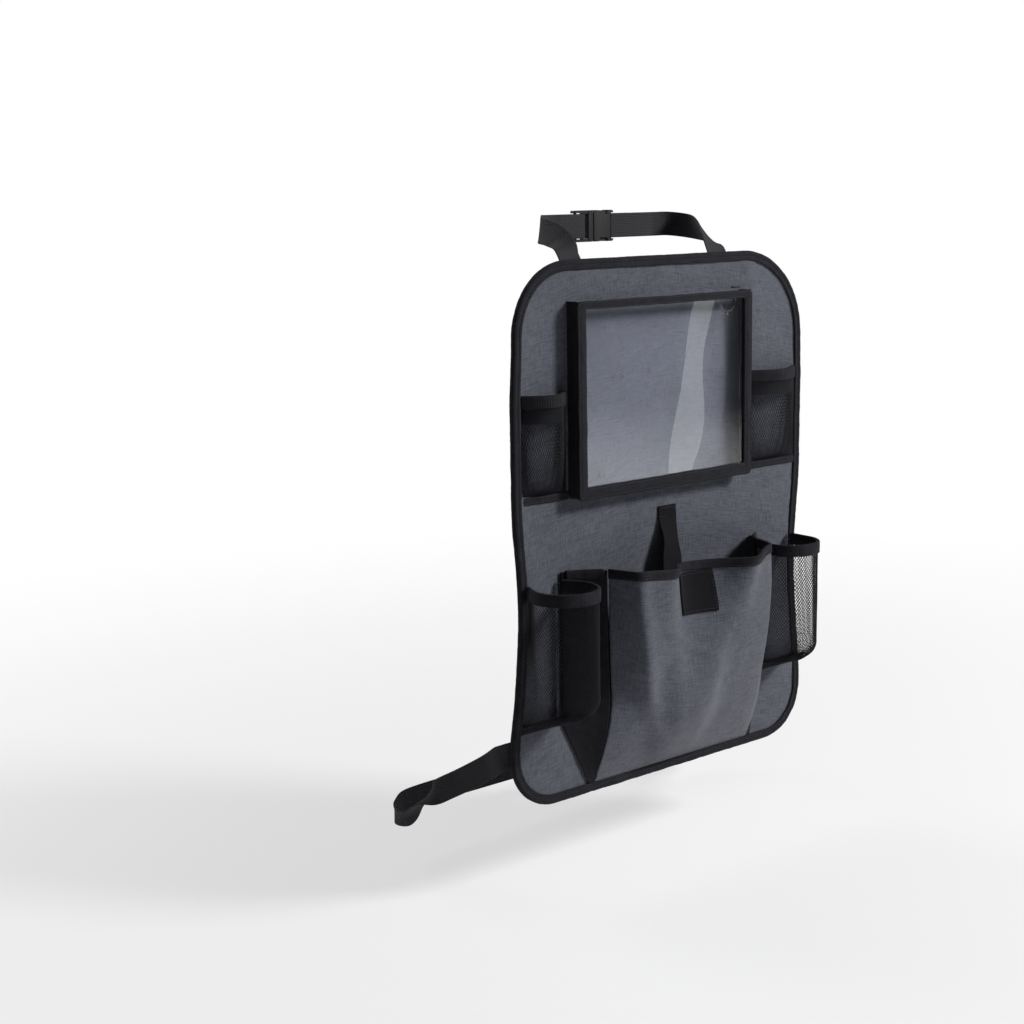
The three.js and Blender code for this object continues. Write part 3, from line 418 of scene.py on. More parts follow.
def stitches(name, line, outs, length=2.9, gap=1.1, width=0.55):
    """A row of lockstitch along a line; outs points away from the cloth, at each point or for all."""
    run = lengths_along(line)
    mesh_points = []
    faces = []
    start = gap / 2
    k = 0
    while start + length < run[-1]:
        ends = []
        for reach in (start, start + length):
            while k + 1 < len(run) - 1 and run[k + 1] < reach:
                k += 1
            share = (reach - run[k]) / max(1e-9, run[k + 1] - run[k])
            ends.append(line[k].lerp(line[k + 1], share))
        out = outs if isinstance(outs, Vector) else outs[k].normalized()
        along = (ends[1] - ends[0]).normalized()
        side = along.cross(out)
        base = len(mesh_points)
        for place, swell in ((0.04, 0.45), (0.3, 1), (0.7, 1), (0.96, 0.45)):
            middle = ends[0].lerp(ends[1], place) + out * (0.1 + 0.22 * swell)
            for turn in range(5):
                angle = turn / 5 * math.tau
                ring = side * math.cos(angle) + out * math.sin(angle) * 0.8
                mesh_points.append((middle + ring * width / 2 * swell) * MM)
        faces += tube_faces(base, 4, 5)
        start += length + gap
    mesh = new_mesh(name, mesh_points, faces)
    turn_outwards(mesh)
    return add_piece(name, mesh, thread)


def edge_points(inset, step):
    """Points round the panel's outline, set in from it, with the direction outwards at each."""
    points = []

    def corner(across, height, radius, first_turn, count):
        for i in range(count):
            turn = first_turn + i / count * math.pi / 2
            out = (math.cos(turn), math.sin(turn))
            rows.append((across + (radius - inset) * out[0], height + (radius - inset) * out[1], *out))

    def parts_of(length):
        count = round(length / step)
        return [i / count for i in range(count)]

    low = BOTTOM_RADIUS - TOP
    for side in (1, -1):
        high = TOP - TOP_RADIUS[side]
        rows = []
        across = half_width(low) - BOTTOM_RADIUS
        for share in parts_of(across):
            rows.append((across * share, -TOP + inset, 0, -1))
        corner(across, low, BOTTOM_RADIUS, -math.pi / 2, 24)
        for share in parts_of(high - low):
            z = low + (high - low) * share
            rows.append((half_width(z, side) - inset, z, 1, 0))
        across = half_width(high, side) - TOP_RADIUS[side]
        corner(across, high, TOP_RADIUS[side], 0, 34)
        for share in parts_of(across):
            rows.append((across * (1 - share), TOP - inset, 0, 1))
        rows = rows + [(0, TOP - inset, 0, 1)] if side > 0 else rows[:0:-1]
        for x, z, out_x, out_z in rows:
            points.append((Vector((side * x, lean(side * x, z), z)), Vector((side * out_x, 0, out_z))))
    return points


binding_profile = [
    (-8.5, -3.1), (-8.5, -4.05), (-8.1, -4.5), (-6.6, -4.62), (-4.9, -4.45), (-4.2, -4.1), (-3.5, -4.5),
    (-2.2, -5), (-0.6, -4.95), (0.7, -4.2), (1.5, -2.9), (1.6, -1.4), (1.5, 0.1), (0.7, 1.1),
    (-0.8, 1.5), (-3.6, 1.25), (-4.2, 1), (-4.9, 1.3), (-8.1, 1.35), (-8.5, 0.9), (-8.5, 0.15),
    (-0.4, 0.15), (-0.4, -3.1),
]
binding_stations = []
for number, (at, out) in enumerate(edge_points(0, 3)):
    pucker = 0.22 * uneven(number * 0.9, 0.5, 0) + 0.25 * uneven(number * 0.21, 8.5, 0)
    up = -towards_us * (1 + pucker * 0.2)
    binding_stations.append((at + out * pucker, out * (1 + pucker * 0.12), up))
binding = band("edge_tape", binding_stations, binding_profile, closed=True)
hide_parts("edge_binding")

for face_name, depth, out in (("front", -4.15, towards_us), ("back", 1.05, -towards_us)):
    seam = [at + Vector((0, depth, 0)) for at, _ in edge_points(4.2, 3)]
    stitches(f"edge_stitches_{face_name}", seam + seam[:1], out)

# Tablet pocket
# A window of clear vinyl in a frame of doubled black tape, held off the panel by a cloth side wall.
# The pocket is open at its top, and a cable comes out through the round notch below the top tape.
TABLET_LEFT = -134
TABLET_RIGHT = 112
TABLET_BOTTOM = 36
TABLET_TOP = 229
FRAME_BACK = -18
NOTCH_X = 77
NOTCH_Z = 219
NOTCH_RADIUS = 11.5


def direction(degrees):
    """A direction in the panel's plane: 0 is to the right and 90 is up."""
    angle = math.radians(degrees)
    return Vector((math.cos(angle), 0, math.sin(angle)))


def oval(wide, high):
    return [(wide * math.cos(math.tau * i / 8), high * math.sin(math.tau * i / 8)) for i in range(8)]


def rounded_loop(left, right, bottom, top, radius):
    """Points round a rectangle with round corners, the same count for every size, from bottom left."""
    corners = ((right - radius, bottom + radius, -90), (right - radius, top - radius, 0),
               (left + radius, top - radius, 90), (left + radius, bottom + radius, 180))
    points = []
    for number, (x, z, turn) in enumerate(corners):
        before_x, before_z, _ = corners[number - 1]
        middle = Vector((x, 0, z))
        start = Vector((before_x, 0, before_z)) + direction(turn) * radius
        end = middle + direction(turn) * radius
        points += [start.lerp(end, i / 64) for i in range(64)]
        points += [middle + direction(turn + 15 * i) * radius for i in range(6)]
    return points


frame_outer = rounded_loop(TABLET_LEFT, TABLET_RIGHT, TABLET_BOTTOM, TABLET_TOP, 5)
frame_inner = rounded_loop(TABLET_LEFT + 11.5, TABLET_RIGHT - 11.5, TABLET_BOTTOM + 13, TABLET_TOP - 8, 2)
frame_stations = []
for outer, inner in zip(frame_outer, frame_inner):
    wave = 0.55 * noise.noise(outer / 23) + 0.2 * noise.noise(outer / 6)
    side = inner - outer
    at = outer + side.normalized() * wave + Vector((0, FRAME_BACK, 0))
    frame_stations.append((at, side, Vector((0, -1 - 0.35 * wave, 0))))
frame_profile = [
    (0, 0), (-0.01, 0.9), (0.03, 1.5), (0.1, 1.75), (0.16, 1.45), (0.22, 1.75), (0.5, 1.9),
    (0.78, 1.7), (0.84, 1.4), (0.9, 1.65), (0.97, 1.4), (1, 0.8), (1, 0),
]
tablet_frame = band("tablet_frame_tape", frame_stations, frame_profile, closed=True)
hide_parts("tablet_frame")
for seam_name, share in (("outer", 0.16), ("inner", 0.84)):
    seam = [at + side * share + up * 1.3 for at, side, up in frame_stations]
    stitches(f"tablet_frame_{seam_name}_stitches", seam + seam[:1], towards_us)

WALL_CORNER = 5
WALL_HEIGHT = TABLET_TOP - TABLET_BOTTOM - WALL_CORNER
WALL_RUN = TABLET_RIGHT - TABLET_LEFT - 2 * WALL_CORNER
wall_path = []
for i in range(60):
    wall_path.append((Vector((TABLET_LEFT, 0, TABLET_TOP - i / 60 * WALL_HEIGHT)), Vector((1, 0, 0))))


def turn_wall(x, first_turn):
    """Takes the wall's path round a bottom corner whose centre is at x."""
    for step in range(8):
        out = direction(first_turn + step / 8 * 90)
        wall_path.append((Vector((x, 0, TABLET_BOTTOM + WALL_CORNER)) + out * WALL_CORNER, -out))


turn_wall(TABLET_LEFT + WALL_CORNER, 180)
for i in range(70):
    x = TABLET_LEFT + WALL_CORNER + i / 70 * WALL_RUN
    wall_path.append((Vector((x, 0, TABLET_BOTTOM)), Vector((0, 0, 1))))
turn_wall(TABLET_RIGHT - WALL_CORNER, 270)
for i in range(61):
    z = TABLET_BOTTOM + WALL_CORNER + i / 60 * WALL_HEIGHT
    wall_path.append((Vector((TABLET_RIGHT, 0, z)), Vector((-1, 0, 0))))


def wall_surface(number, share):
    at, inwards = wall_path[number]
    sway = 1.3 + 0.9 * noise.noise(at / 26)
    bow = sway * arch(share) + 0.8
    return at + inwards * bow + Vector((0, -PANEL_THICKNESS - 0.2 - share * 14.6, 0))


side_wall = cloth("tablet_wall_cloth", wall_surface, range(len(wall_path)), shares(7), 1.3,
                  black_tape)
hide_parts("tablet_side_wall")

clear_vinyl, vinyl_shader = plain_material("clear_vinyl", (0.97, 0.985, 1), 0.0, Specular_IOR_Level=0.22,
                                           Transmission_Weight=1, IOR=1.46)
vinyl_ripple = node_after(clear_vinyl, "TexNoise", (in_object(clear_vinyl), "Vector"),
                          Scale=7, Detail=0.6)
add_bump(clear_vinyl, vinyl_shader, vinyl_ripple.outputs["Fac"], 0.06, 0.002)
light_passes = node_after(clear_vinyl, "BsdfTransparent", Color=(0.92, 0.92, 0.92, 1))
split_by_ray(clear_vinyl, "Is Shadow Ray", vinyl_shader, light_passes)


def vinyl_surface(u, v):
    x = TABLET_LEFT + 2 + u * (TABLET_RIGHT - TABLET_LEFT - 4)
    z = TABLET_BOTTOM + 2 + v * (TABLET_TOP - TABLET_BOTTOM - 2.6)
    slack = arch(u) * arch(v)
    wave = 0.4 * uneven(x / 110, z / 160, 2) + 0.03 * uneven(x / 34, z / 60, 5)
    return x, -17.3 - wave * slack ** 0.5, z


window = cloth("tablet_window_vinyl", vinyl_surface, shares(70), shares(56), 0.5,
               clear_vinyl)
bpy.ops.mesh.primitive_cylinder_add(
    vertices=64, radius=NOTCH_RADIUS * MM, depth=0.01,
    location=(NOTCH_X * MM, -0.0173, NOTCH_Z * MM), rotation=(math.pi / 2, 0, 0),
)
notch_cutter = bpy.context.object
apply_modifier(window, "BOOLEAN", operation="DIFFERENCE", object=notch_cutter, solver="EXACT")
bpy.data.objects.remove(notch_cutter)
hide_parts("tablet_window")

notch_middle = Vector((NOTCH_X, -17.4, NOTCH_Z))
notch_edge = []
for i in range(61):
    out = direction(122.5 + 295 * i / 60)
    notch_edge.append((notch_middle + out * (NOTCH_RADIUS - 0.2), out, towards_us))
band("cable_notch_bead", notch_edge, oval(0.7, 0.55), clear_vinyl)

# Bar tack
# Where the cable slit ends, a dense bar of thread is sewn across the panel beside the frame's corner.
# It is made of close upright stitches laid side by side over a core.
tack_y = -3.4 - relief(105, 232) * 0.3
tack_stations = []
for i in range(23):
    swell = 0.82 + 0.18 * math.cos(math.pi * i)
    at = Vector((98.4 + 0.6 * i, tack_y, 232.1))
    tack_stations.append((at, Vector((0, 0, swell)), towards_us * swell))
tack = band("bar_tack", tack_stations, oval(1.1, 0.5), thread)
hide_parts("cable_slit_tack")

# Mesh side pockets
# Black knitted net, gathered under a ribbed elastic at the top and caught in a taped hem at the foot.
# The bottle pockets are stretched round, the small ones bulge, and all are sewn down at both sides.
SEAM_Y = -PANEL_THICKNESS - GAP - 0.6
black_net, net_shader = plain_material("black_net", (0.008, 0.008, 0.01), 0.6, Specular_IOR_Level=0.2)
net_patch = stretched_noise(black_net, in_object(black_net), 14, 14, 2)
add_tone(black_net, net_shader, net_patch, (0.005, 0.005, 0.007), (0.011, 0.011, 0.014))


def net(name, surface, columns, rows):
    """Knitted net over surface(u, v): a diamond lattice in which every strand is a thin solid."""
    number = {}
    points = []
    for j in range(rows + 1):
        for i in range(columns + 1):
            if (i + j) % 2 == 0:
                number[i, j] = len(points)
                points.append(Vector(surface(i / columns, j / rows)) * MM)
    faces = []
    for j in range(rows + 1):
        for i in range(columns + 1):
            around = ((i - 1, j), (i, j - 1), (i + 1, j), (i, j + 1))
            corners = [number[spot] for spot in around if spot in number]
            if (i + j) % 2 and len(corners) > 2:
                faces.append(corners)
    piece = add_piece(name, new_mesh(name, points, faces), black_net)
    apply_modifier(piece, "WIREFRAME", thickness=0.8 * MM, offset=0, use_boundary=True,
                   use_even_offset=False)
    return piece


def normal_of(surface, u, v):
    step = 1e-3
    along = Vector(surface(min(1, u + step), v)) - Vector(surface(max(0, u - step), v))
    rise = Vector(surface(u, min(1, v + step))) - Vector(surface(u, max(0, v - step)))
    return along.cross(rise).normalized()


def edge_stations(surface, count, start=0.0, end=1.0, pleat=0.0, pitch=2.4):
    """Stations along the free edge v = 1 of a surface, with the pleats of an elastic."""
    stations = []
    run = 0
    before = None
    for share in shares(count):
        u = start + (end - start) * share
        at = Vector(surface(u, 1))
        run += (at - before).length if before else 0
        before = at
        out = normal_of(surface, u, 1)
        along = Vector(surface(min(1, u + 1e-3), 1)) - Vector(surface(max(0, u - 1e-3), 1))
        up = out.cross(along.normalized()).normalized()
        up = -up if up.z < 0 else up
        fold = 1 + pleat * math.sin(math.tau * run / pitch)
        stations.append((at, out * fold, up * (1 + 0.3 * pleat * math.sin(math.tau * run / pitch))))
    return stations


def folded_tape(inner, outer, height, top):
    """Section of a tape folded over an edge, with soft outer corners and a stitched-down foot."""
    right = [
        (inner, 0.3), (inner, -height), (outer - 0.3, -height), (outer, -height + 0.3),
        (outer - 0.12, -height + 2), (outer + 0.1, -height / 2), (outer, top - 0.9),
        (outer - 0.5, top - 0.15),
    ]
    section = right + [(0, top)] + [(-x, z) for x, z in reversed(right)]
    return section[-4:] + section[:-4]


def hem_tape(name, left, right, low, high):
    """Flat tape along the foot of a mesh pocket, puckered by the gathers that it holds."""
    stations = []
    count = round((right - left) / 1.2)
    for i in range(count + 1):
        x = left + (right - left) * i / count
        pucker = 0.5 * uneven(x / 3.5, low, 0)
        at = Vector((x, -PANEL_THICKNESS - GAP, (low + high) / 2))
        stations.append((at, Vector((0, 0, (high - low) / 2)), Vector((0, -1 - pucker * 0.5, 0))))
    profile = [(-1, 0), (-1, 0.8), (-0.85, 1.15), (-0.6, 0.95), (0, 1.25),
               (0.6, 0.95), (0.85, 1.2), (1, 0.8), (1, 0)]
    tape = band(name, stations, profile)
    for seam_name, share in (("low", -0.6), ("high", 0.6)):
        seam = [at + side * share + up * 0.95 for at, side, up in stations]
        stitches(f"{name}_{seam_name}_stitches", seam, towards_us, 2.4, 0.9, 0.5)
    return tape


def binding_edge(z):
    return half_width(z) + BINDING_PROUD - BINDING_FACE


def mesh_pocket(side, low, high, round_height, inner, full, gathers):
    """Surface of a mesh pocket: flat at its foot, filled out to full(outer, inner, share) above."""
    def surface(u, v):
        angle = min(1, v / 0.4) * math.pi / 2
        above = round_height * (1 - math.cos(angle)) if v < 0.4 else (
            round_height + (high - low - round_height) * (v - 0.4) / 0.6)
        z = low + above
        outer = binding_edge(z) - 1.5
        fill = math.sin(angle)
        x_full, y_full = full(outer, inner, u)
        x = (outer + (inner - outer) * u) * (1 - fill) + x_full * fill
        y = SEAM_Y * (1 - fill) + y_full * fill
        wave = gathers * arch(u) * (1 - math.cos(math.tau * 7 * u)) / 2
        ripple = 0.35 * uneven(x / 9, z / 16, side * 4.4) * arch(u)
        return side * x, min(SEAM_Y, y - wave * math.sin(2 * angle) + ripple), z
    return surface


def round_a_bottle(centre_x, radius):
    """Section of a filled bottle pocket: straight from each seam to the bottle and round its front."""
    centre_y = -PANEL_THICKNESS - radius - GAP

    def touch(seam_x, turn):
        away = (seam_x - centre_x, SEAM_Y - centre_y)
        return math.atan2(away[1], away[0]) + turn * math.acos(radius / math.hypot(*away))

    def on_bottle(angle):
        return centre_x + radius * math.cos(angle), centre_y + radius * math.sin(angle)

    def section(outer, inner, share):
        start = touch(outer, -1)
        end = touch(inner, 1) - math.tau
        first = on_bottle(start)
        last = on_bottle(end)
        lead = math.dist((outer, SEAM_Y), first)
        arc = radius * (start - end)
        tail = math.dist((inner, SEAM_Y), last)
        run = share * (lead + arc + tail)
        if run < lead:
            part = run / lead
            return outer + (first[0] - outer) * part, SEAM_Y + (first[1] - SEAM_Y) * part
        if run < lead + arc:
            return on_bottle(start + (end - start) * (run - lead) / arc)
        part = (run - lead - arc) / tail
        return last[0] + (inner - last[0]) * part, last[1] + (SEAM_Y - last[1]) * part
    return section


def bulging(outer, inner, share):
    return outer + (inner - outer) * share, SEAM_Y - 17 * arch(share)


elastic_section = folded_tape(0.75, 1.95, 11, 1.5)


def sew_pocket(pocket, surface, columns, rows, pleat_steps, hem_ends, hem_foot):
    """The net of one pocket, the elastic along its top and the 8 mm hem along its foot."""
    netting = net(f"{pocket}_net", surface, columns, rows)
    elastic = band(f"{pocket}_band", edge_stations(surface, pleat_steps, 0.03, 0.97, 0.1), elastic_section)
    hem = hem_tape(f"{pocket}_foot", *sorted(hem_ends), hem_foot, hem_foot + 8)
    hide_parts(f"{pocket}_mesh")
    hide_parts(f"{pocket}_elastic")
    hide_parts(f"{pocket}_hem")
    return netting, elastic, hem


for side_name, side, centre_x, radius, inner in (
    ("left", -1, 169, 32.5, 151.25), ("right", 1, 158.6, 30, 141.25),
):
    surface = mesh_pocket(side, -180, -42, 30, inner, round_a_bottle(centre_x, radius), 1.6)
    ends = (side * inner, side * (binding_edge(-180) - GAP))
    netting, elastic, hem = sew_pocket(f"{side_name}_bottle_pocket", surface, 98, 84, 230, ends, -188.9)

for side_name, side, wall_x in (("left", -1, 134), ("right", 1, 112)):
    surface = mesh_pocket(side, 46, 142, 70, wall_x + 4, bulging, 0.5)
    ends = (side * (wall_x + 0.6), side * (binding_edge(37.1) - GAP))
    netting, elastic, hem = sew_pocket(f"{side_name}_small_pocket", surface, 60, 78, 110, ends, 37.1)

# Deep pocket
# A front of the same heather cloth on two black cloth gussets, sewn to the panel at the foot and sides.
# It stands open and half empty, so its front falls in long soft folds below the taped top edge.
POCKET_FOOT_Z = -TOP - BINDING_PROUD + BINDING_FACE + 2 * GAP
POCKET_CORNER_Z = -34
POCKET_SEAM_Y = -PANEL_THICKNESS - GAP - 0.75
POCKET_DEPTH = 57
SEAM_DEPTH = 26
FOOT_FOLD = {-1: 30, 1: 107}
FULL_DEPTH_AT = {-1: 0.8, 1: 0.95}
FULLNESS = {-1: 0.65, 1: 0.72}


def rising(v, full):
    return math.sin(min(1, max(0, v / full)) * math.pi / 2)


def swing(share, v):
    """How far the pocket hangs over to the right: share runs from its left side to its right."""
    return 9 * (1 - v) ** 2 + (5 * v + 7 * arch(v)) * share


def front_corner(side, v):
    """On one side: the x and depth of the front's fold, those of its seam, and its half length."""
    fold = FOOT_FOLD[side] + (97 - FOOT_FOLD[side]) * rising(v, 0.9)
    depth = POCKET_DEPTH * rising(v, FULL_DEPTH_AT[side]) ** FULLNESS[side]
    seam = 113 - 7 * min(1, v / 0.42)
    seam_depth = SEAM_DEPTH * rising(v, 0.42)
    return fold, depth, seam, seam_depth, fold + math.hypot(seam - fold, depth - seam_depth)


def ridge(x, centre, reach):
    return math.exp(-(((x - centre) / reach) ** 2))


def fold_height(x, v):
    """Folds of the pocket's front in millimetres, outwards: two long ridges and the valley between."""
    left_ridge = 3.6 * ridge(x, -32 - 62 * rising(v, 0.9), 13)
    crest = -1 + 22 * v + 24 * v ** 4
    right_ridge = 12.5 * ridge(x, crest, 38 if x < crest else 24)
    valley = 4 * ridge(x, crest - 60 - 10 * v, 20)
    cross_fold = 2.2 * ridge(x, -50 + 385 * (0.7 - v), 12) * bell(v, 0.64, 0.14)
    soft = 1.8 * uneven(x / 62, v * 2.6, 1.7) + 0.5 * uneven(x / 19, v * 8, 4.1)
    return (left_ridge + right_ridge - valley + cross_fold + soft) * min(1, v / 0.3)


def pocket_front(u, v):
    side = -1 if u < 0.5 else 1
    fold, depth, seam, seam_depth, half_length = front_corner(side, v)
    share = abs(2 * u - 1)
    bend = 0.16 - 0.115 * rising(v, 0.85)
    fold_share = fold / half_length

    def past(at):
        return (math.hypot(at - fold_share, bend) + at - fold_share) / 2

    to_seam = (past(share) - past(0)) / (past(1) - past(0))
    to_fold = (share - past(share) + past(0)) / (1 - past(1) + past(0))
    blend = (side * to_fold + 1) / 2
    blend = blend * blend * (3 - 2 * blend)
    full = front_corner(-1, v)[1] * (1 - blend) + front_corner(1, v)[1] * blend
    dip = 0.34 * v ** 1.3 * math.exp(-((to_fold / 0.42) ** 4))
    lobe = 9 * v * v * arch(to_fold) ** 2
    top = POCKET_CORNER_Z - 5.5 * (1 - min(1, to_fold) ** 2) ** 1.5
    x = side * (fold * to_fold + (seam - fold) * to_seam)
    y = POCKET_SEAM_Y - full * (1 - dip) - lobe + (depth - seam_depth) * to_seam
    folds = fold_height(x, v) * (1 - 0.85 * to_seam)
    hollow = 3.2 * math.sin(math.pi * min(1, to_seam)) * bell(v, 0.55, 0.5)
    hollow *= 1 + uneven(v * 5, 2, side)
    return x - side * hollow + swing(u, v), y - folds, POCKET_FOOT_Z + (top - POCKET_FOOT_Z) * v


def out_of_front(u, v):
    out = normal_of(pocket_front, u, v)
    return -out if out.y > 0 else out


front = cloth("deep_pocket_cloth", pocket_front, shares(120), shares(100), 1.3, grey_cloth)
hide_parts("deep_pocket_front")
front_tape = band("deep_pocket_top_tape", edge_stations(pocket_front, 150, pleat=0.03, pitch=9),
                  folded_tape(0.85, 1.85, 8, 1.35))
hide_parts("deep_pocket_front_binding")
front_outs = [out_of_front(u, 1) for u in shares(120)]
front_seam = [Vector(pocket_front(u, 1)) + out * 1.9 + Vector((0, 0, -6.2))
              for u, out in zip(shares(120), front_outs)]
stitches("deep_pocket_top_stitches", front_seam, front_outs)


def gusset_surface(side, seam_x):
    fold_share = (-190 - POCKET_FOOT_Z) / (POCKET_CORNER_Z - POCKET_FOOT_Z)

    def surface(u, v):
        z = POCKET_FOOT_Z + (POCKET_CORNER_Z - POCKET_FOOT_Z) * v
        from_fold = min(1, v / fold_share)
        moved = side * swing((side + 1) / 2, v)
        foot_x = 120 + side * 9
        back = Vector((foot_x + (seam_x - foot_x) * from_fold, POCKET_SEAM_Y, z))
        _, _, seam, seam_depth, _ = front_corner(side, v)
        front_edge = Vector((seam + moved, POCKET_SEAM_Y - seam_depth, z))
        front_edge += (back - front_edge).normalized() * 1.4
        point = back.lerp(front_edge, u)
        full = seam_depth / SEAM_DEPTH
        crease = 1.2 * ridge(u, 0.52, 0.12) * full
        soft = 1.1 * uneven(u * 2.1, v * 5, side * 3.3) * arch(u) * full
        point.x -= 5 * arch(u) * full - crease + soft
        return side * point.x, point.y, point.z
    return surface


for side_name, side, seam_x, flat_width in (
    ("left", -1, 147, 0.046), ("right", 1, 137, 0.031),
):
    surface = gusset_surface(side, seam_x)
    gusset = cloth(f"{side_name}_gusset_cloth", surface, shares(24), shares(60), 1.2,
                   black_tape)
    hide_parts(f"deep_pocket_{side_name}_gusset")
    tape = band(f"{side_name}_gusset_top_tape", edge_stations(surface, 30, 0.09, 0.9, 0.03, 9),
                folded_tape(0.85, 1.8, 8, 1.3))
    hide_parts(f"deep_pocket_{side_name}_gusset_binding")

# Loop patch and closing tab
# A square of black loop tape is sewn to the front's outside, under the taped edge.
# The tab that sticks to it has the same pile. It is sewn to the panel above, widens downwards and
# hangs into the pocket.
fuzz, fuzz_shader = plain_material("black_loop_pile", (0.009, 0.009, 0.0112), 0.95, Sheen_Weight=0.06,
                                   Sheen_Roughness=0.3, Specular_IOR_Level=0.12)
add_bump(fuzz, fuzz_shader, stretched_noise(fuzz, on_cloth(fuzz), 0.9, 0.9, 4), 0.9, 0.0008)

PATCH_U = (0.378, 0.556)
PATCH_V = (0.7677, 0.9605)


def patch_surface(u, v):
    at = (PATCH_U[0] + (PATCH_U[1] - PATCH_U[0]) * u, PATCH_V[0] + (PATCH_V[1] - PATCH_V[0]) * v)
    return Vector(pocket_front(*at)) + out_of_front(*at) * 1.7


patch = cloth("loop_patch_pile", patch_surface, shares(30), shares(28), 1.1, fuzz)
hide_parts("loop_patch")
PATCH_SEAM = ((0.06, 0.06), (0.94, 0.06), (0.94, 0.94), (0.06, 0.94))
patch_seam = []
for (u, v), (after_u, after_v) in zip(PATCH_SEAM, PATCH_SEAM[1:] + PATCH_SEAM[:1]):
    for i in range(16):
        at = patch_surface(u + (after_u - u) * i / 16, v + (after_v - v) * i / 16)
        patch_seam.append(at + towards_us * 0.55)
stitches("loop_patch_stitches", patch_seam + patch_seam[:1], towards_us, 2.4, 0.9)


def curve_point(points, share):
    """A point on the centripetal curve through the points, at a share of its segments."""
    last = len(points) - 1
    place = last * share
    first = min(int(place), last - 1)
    t = place - first
    p1, p2 = points[first], points[first + 1]
    p0 = points[first - 1] if first > 0 else p1 * 2 - p2
    p3 = points[first + 2] if first + 2 <= last else p2 * 2 - p1
    gaps = [max(1e-4, math.sqrt((b - a).length)) for a, b in ((p0, p1), (p1, p2), (p2, p3))]
    if gaps[1] < 1e-3:
        gaps[1] = 1
    gaps[0] = gaps[1] if gaps[0] < 1e-3 else gaps[0]
    gaps[2] = gaps[1] if gaps[2] < 1e-3 else gaps[2]
    start = ((p1 - p0) / gaps[0] - (p2 - p0) / (gaps[0] + gaps[1]) + (p2 - p1) / gaps[1]) * gaps[1]
    end = ((p2 - p1) / gaps[1] - (p3 - p1) / (gaps[1] + gaps[2]) + (p3 - p2) / gaps[2]) * gaps[1]
    return (p1 * (2 * t ** 3 - 3 * t ** 2 + 1) + start * (t ** 3 - 2 * t ** 2 + t)
            + p2 * (3 * t ** 2 - 2 * t ** 3) + end * (t ** 3 - t ** 2))


def strap_run(route, steps):
    """Points and width directions along a strap, from rows of x, y, z, across x, across y, across z."""
    centres = [Vector(row[:3]) for row in route]
    widths = [Vector(row[3:]) for row in route]
    points = [curve_point(centres, share) for share in shares(steps)]
    acrosses = [curve_point(widths, share).normalized() for share in shares(steps)]
    return points, acrosses


def webbing_stations(points, acrosses):
    stations = []
    for i, at in enumerate(points):
        along = (points[min(len(points) - 1, i + 1)] - points[max(0, i - 1)]).normalized()
        side = (acrosses[i] - along * acrosses[i].dot(along)).normalized()
        stations.append((at, side, along.cross(side)))
    return stations


webbing, webbing_shader = plain_material("black_webbing", (0.024, 0.0235, 0.029), 0.7, Sheen_Weight=0.1,
                                         Specular_IOR_Level=0.22)
webbing_place = node_after(webbing, "Mapping", (on_cloth(webbing), "Vector"),
                           Scale=(math.pi / 0.0018, math.pi / 0.0013, 1))
webbing_parts = node_after(webbing, "SeparateXYZ", (webbing_place.outputs["Vector"], "Vector"))
rib = arithmetic(webbing, "ABSOLUTE", arithmetic(webbing, "SINE", webbing_parts.outputs["X"]))
slanted_rib = arithmetic(webbing, "MULTIPLY", rib, 1.1)
pick_place = arithmetic(webbing, "ADD", webbing_parts.outputs["Y"], slanted_rib)
pick = arithmetic(webbing, "ABSOLUTE", arithmetic(webbing, "SINE", pick_place))
webbing_height = arithmetic(webbing, "ADD", rib, arithmetic(webbing, "MULTIPLY", pick, 0.6))
# The colour follows the weave's relief: painted shade in the hollows between ribs and picks, painted
# highlight on their crowns.
add_tone(webbing, webbing_shader, arithmetic(webbing, "MULTIPLY", webbing_height, 0.62),
         (0.007, 0.007, 0.0095), (0.03, 0.0295, 0.036))
add_bump(webbing, webbing_shader, webbing_height, 0.7, 0.00035)
webbing_face = [(-12.5, 0), (-12.35, 0.5), (-11.9, 0.75), (-10.8, 0.68),
                (0, 0.75), (10.8, 0.68), (11.9, 0.75), (12.35, 0.5)]
webbing_section = webbing_face + [(-x, -y) for x, y in webbing_face]

tab_seam_y = -PANEL_THICKNESS - GAP - 0.75
tab_points, tab_widths = strap_run([
    (1, tab_seam_y, 14, 1, 0, 0),
    (1, tab_seam_y - 0.96, 0.3, 1, 0, 0),
    (0, tab_seam_y - 7.04, -21.3, 0.95, 0.25, 0),
    (-2, tab_seam_y - 11.2, -45.8, 0.95, 0.2, 0),
    (-3, tab_seam_y - 16, -84, 1, -0.1, 0),
], 60)
tab_stations = [(at, side * (1 + 0.4 * max(0, min(1, (-at.z - 2) / 34)) ** 2), up)
                for at, side, up in webbing_stations(tab_points, tab_widths)]
tab = band("closing_tab", tab_stations, webbing_section, fuzz)
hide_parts("closure_tab")
tab_box = [Vector((1 + x, tab_seam_y - 0.8, z)) for x, z in
           ((-9.5, 12), (9.5, 12), (9.5, 3), (-9.5, 3), (-9.5, 12))]
stitches("closing_tab_stitches", tab_box, towards_us, 2.4, 0.9)

# Straps
# Flat 25 mm webbing, box-stitched to the panel's back. One pair goes over the top edge and round the
# headrest posts, the other round the seat, and each pair is closed by a side-release buckle.
WEBBING_HALF = 0.75
TURN_RADIUS = 1.7 + 0.45 + WEBBING_HALF
SEWN_Y = GAP + WEBBING_HALF
OVER_TAPE_Y = 1.2 + 4 * GAP + WEBBING_HALF
HEADREST_BAR_Y = 88
SEAT_BAR_Y = 190
HEADREST_BUCKLE_X = -17
BAR_X = {"left": -12.6, "right": 27.3}


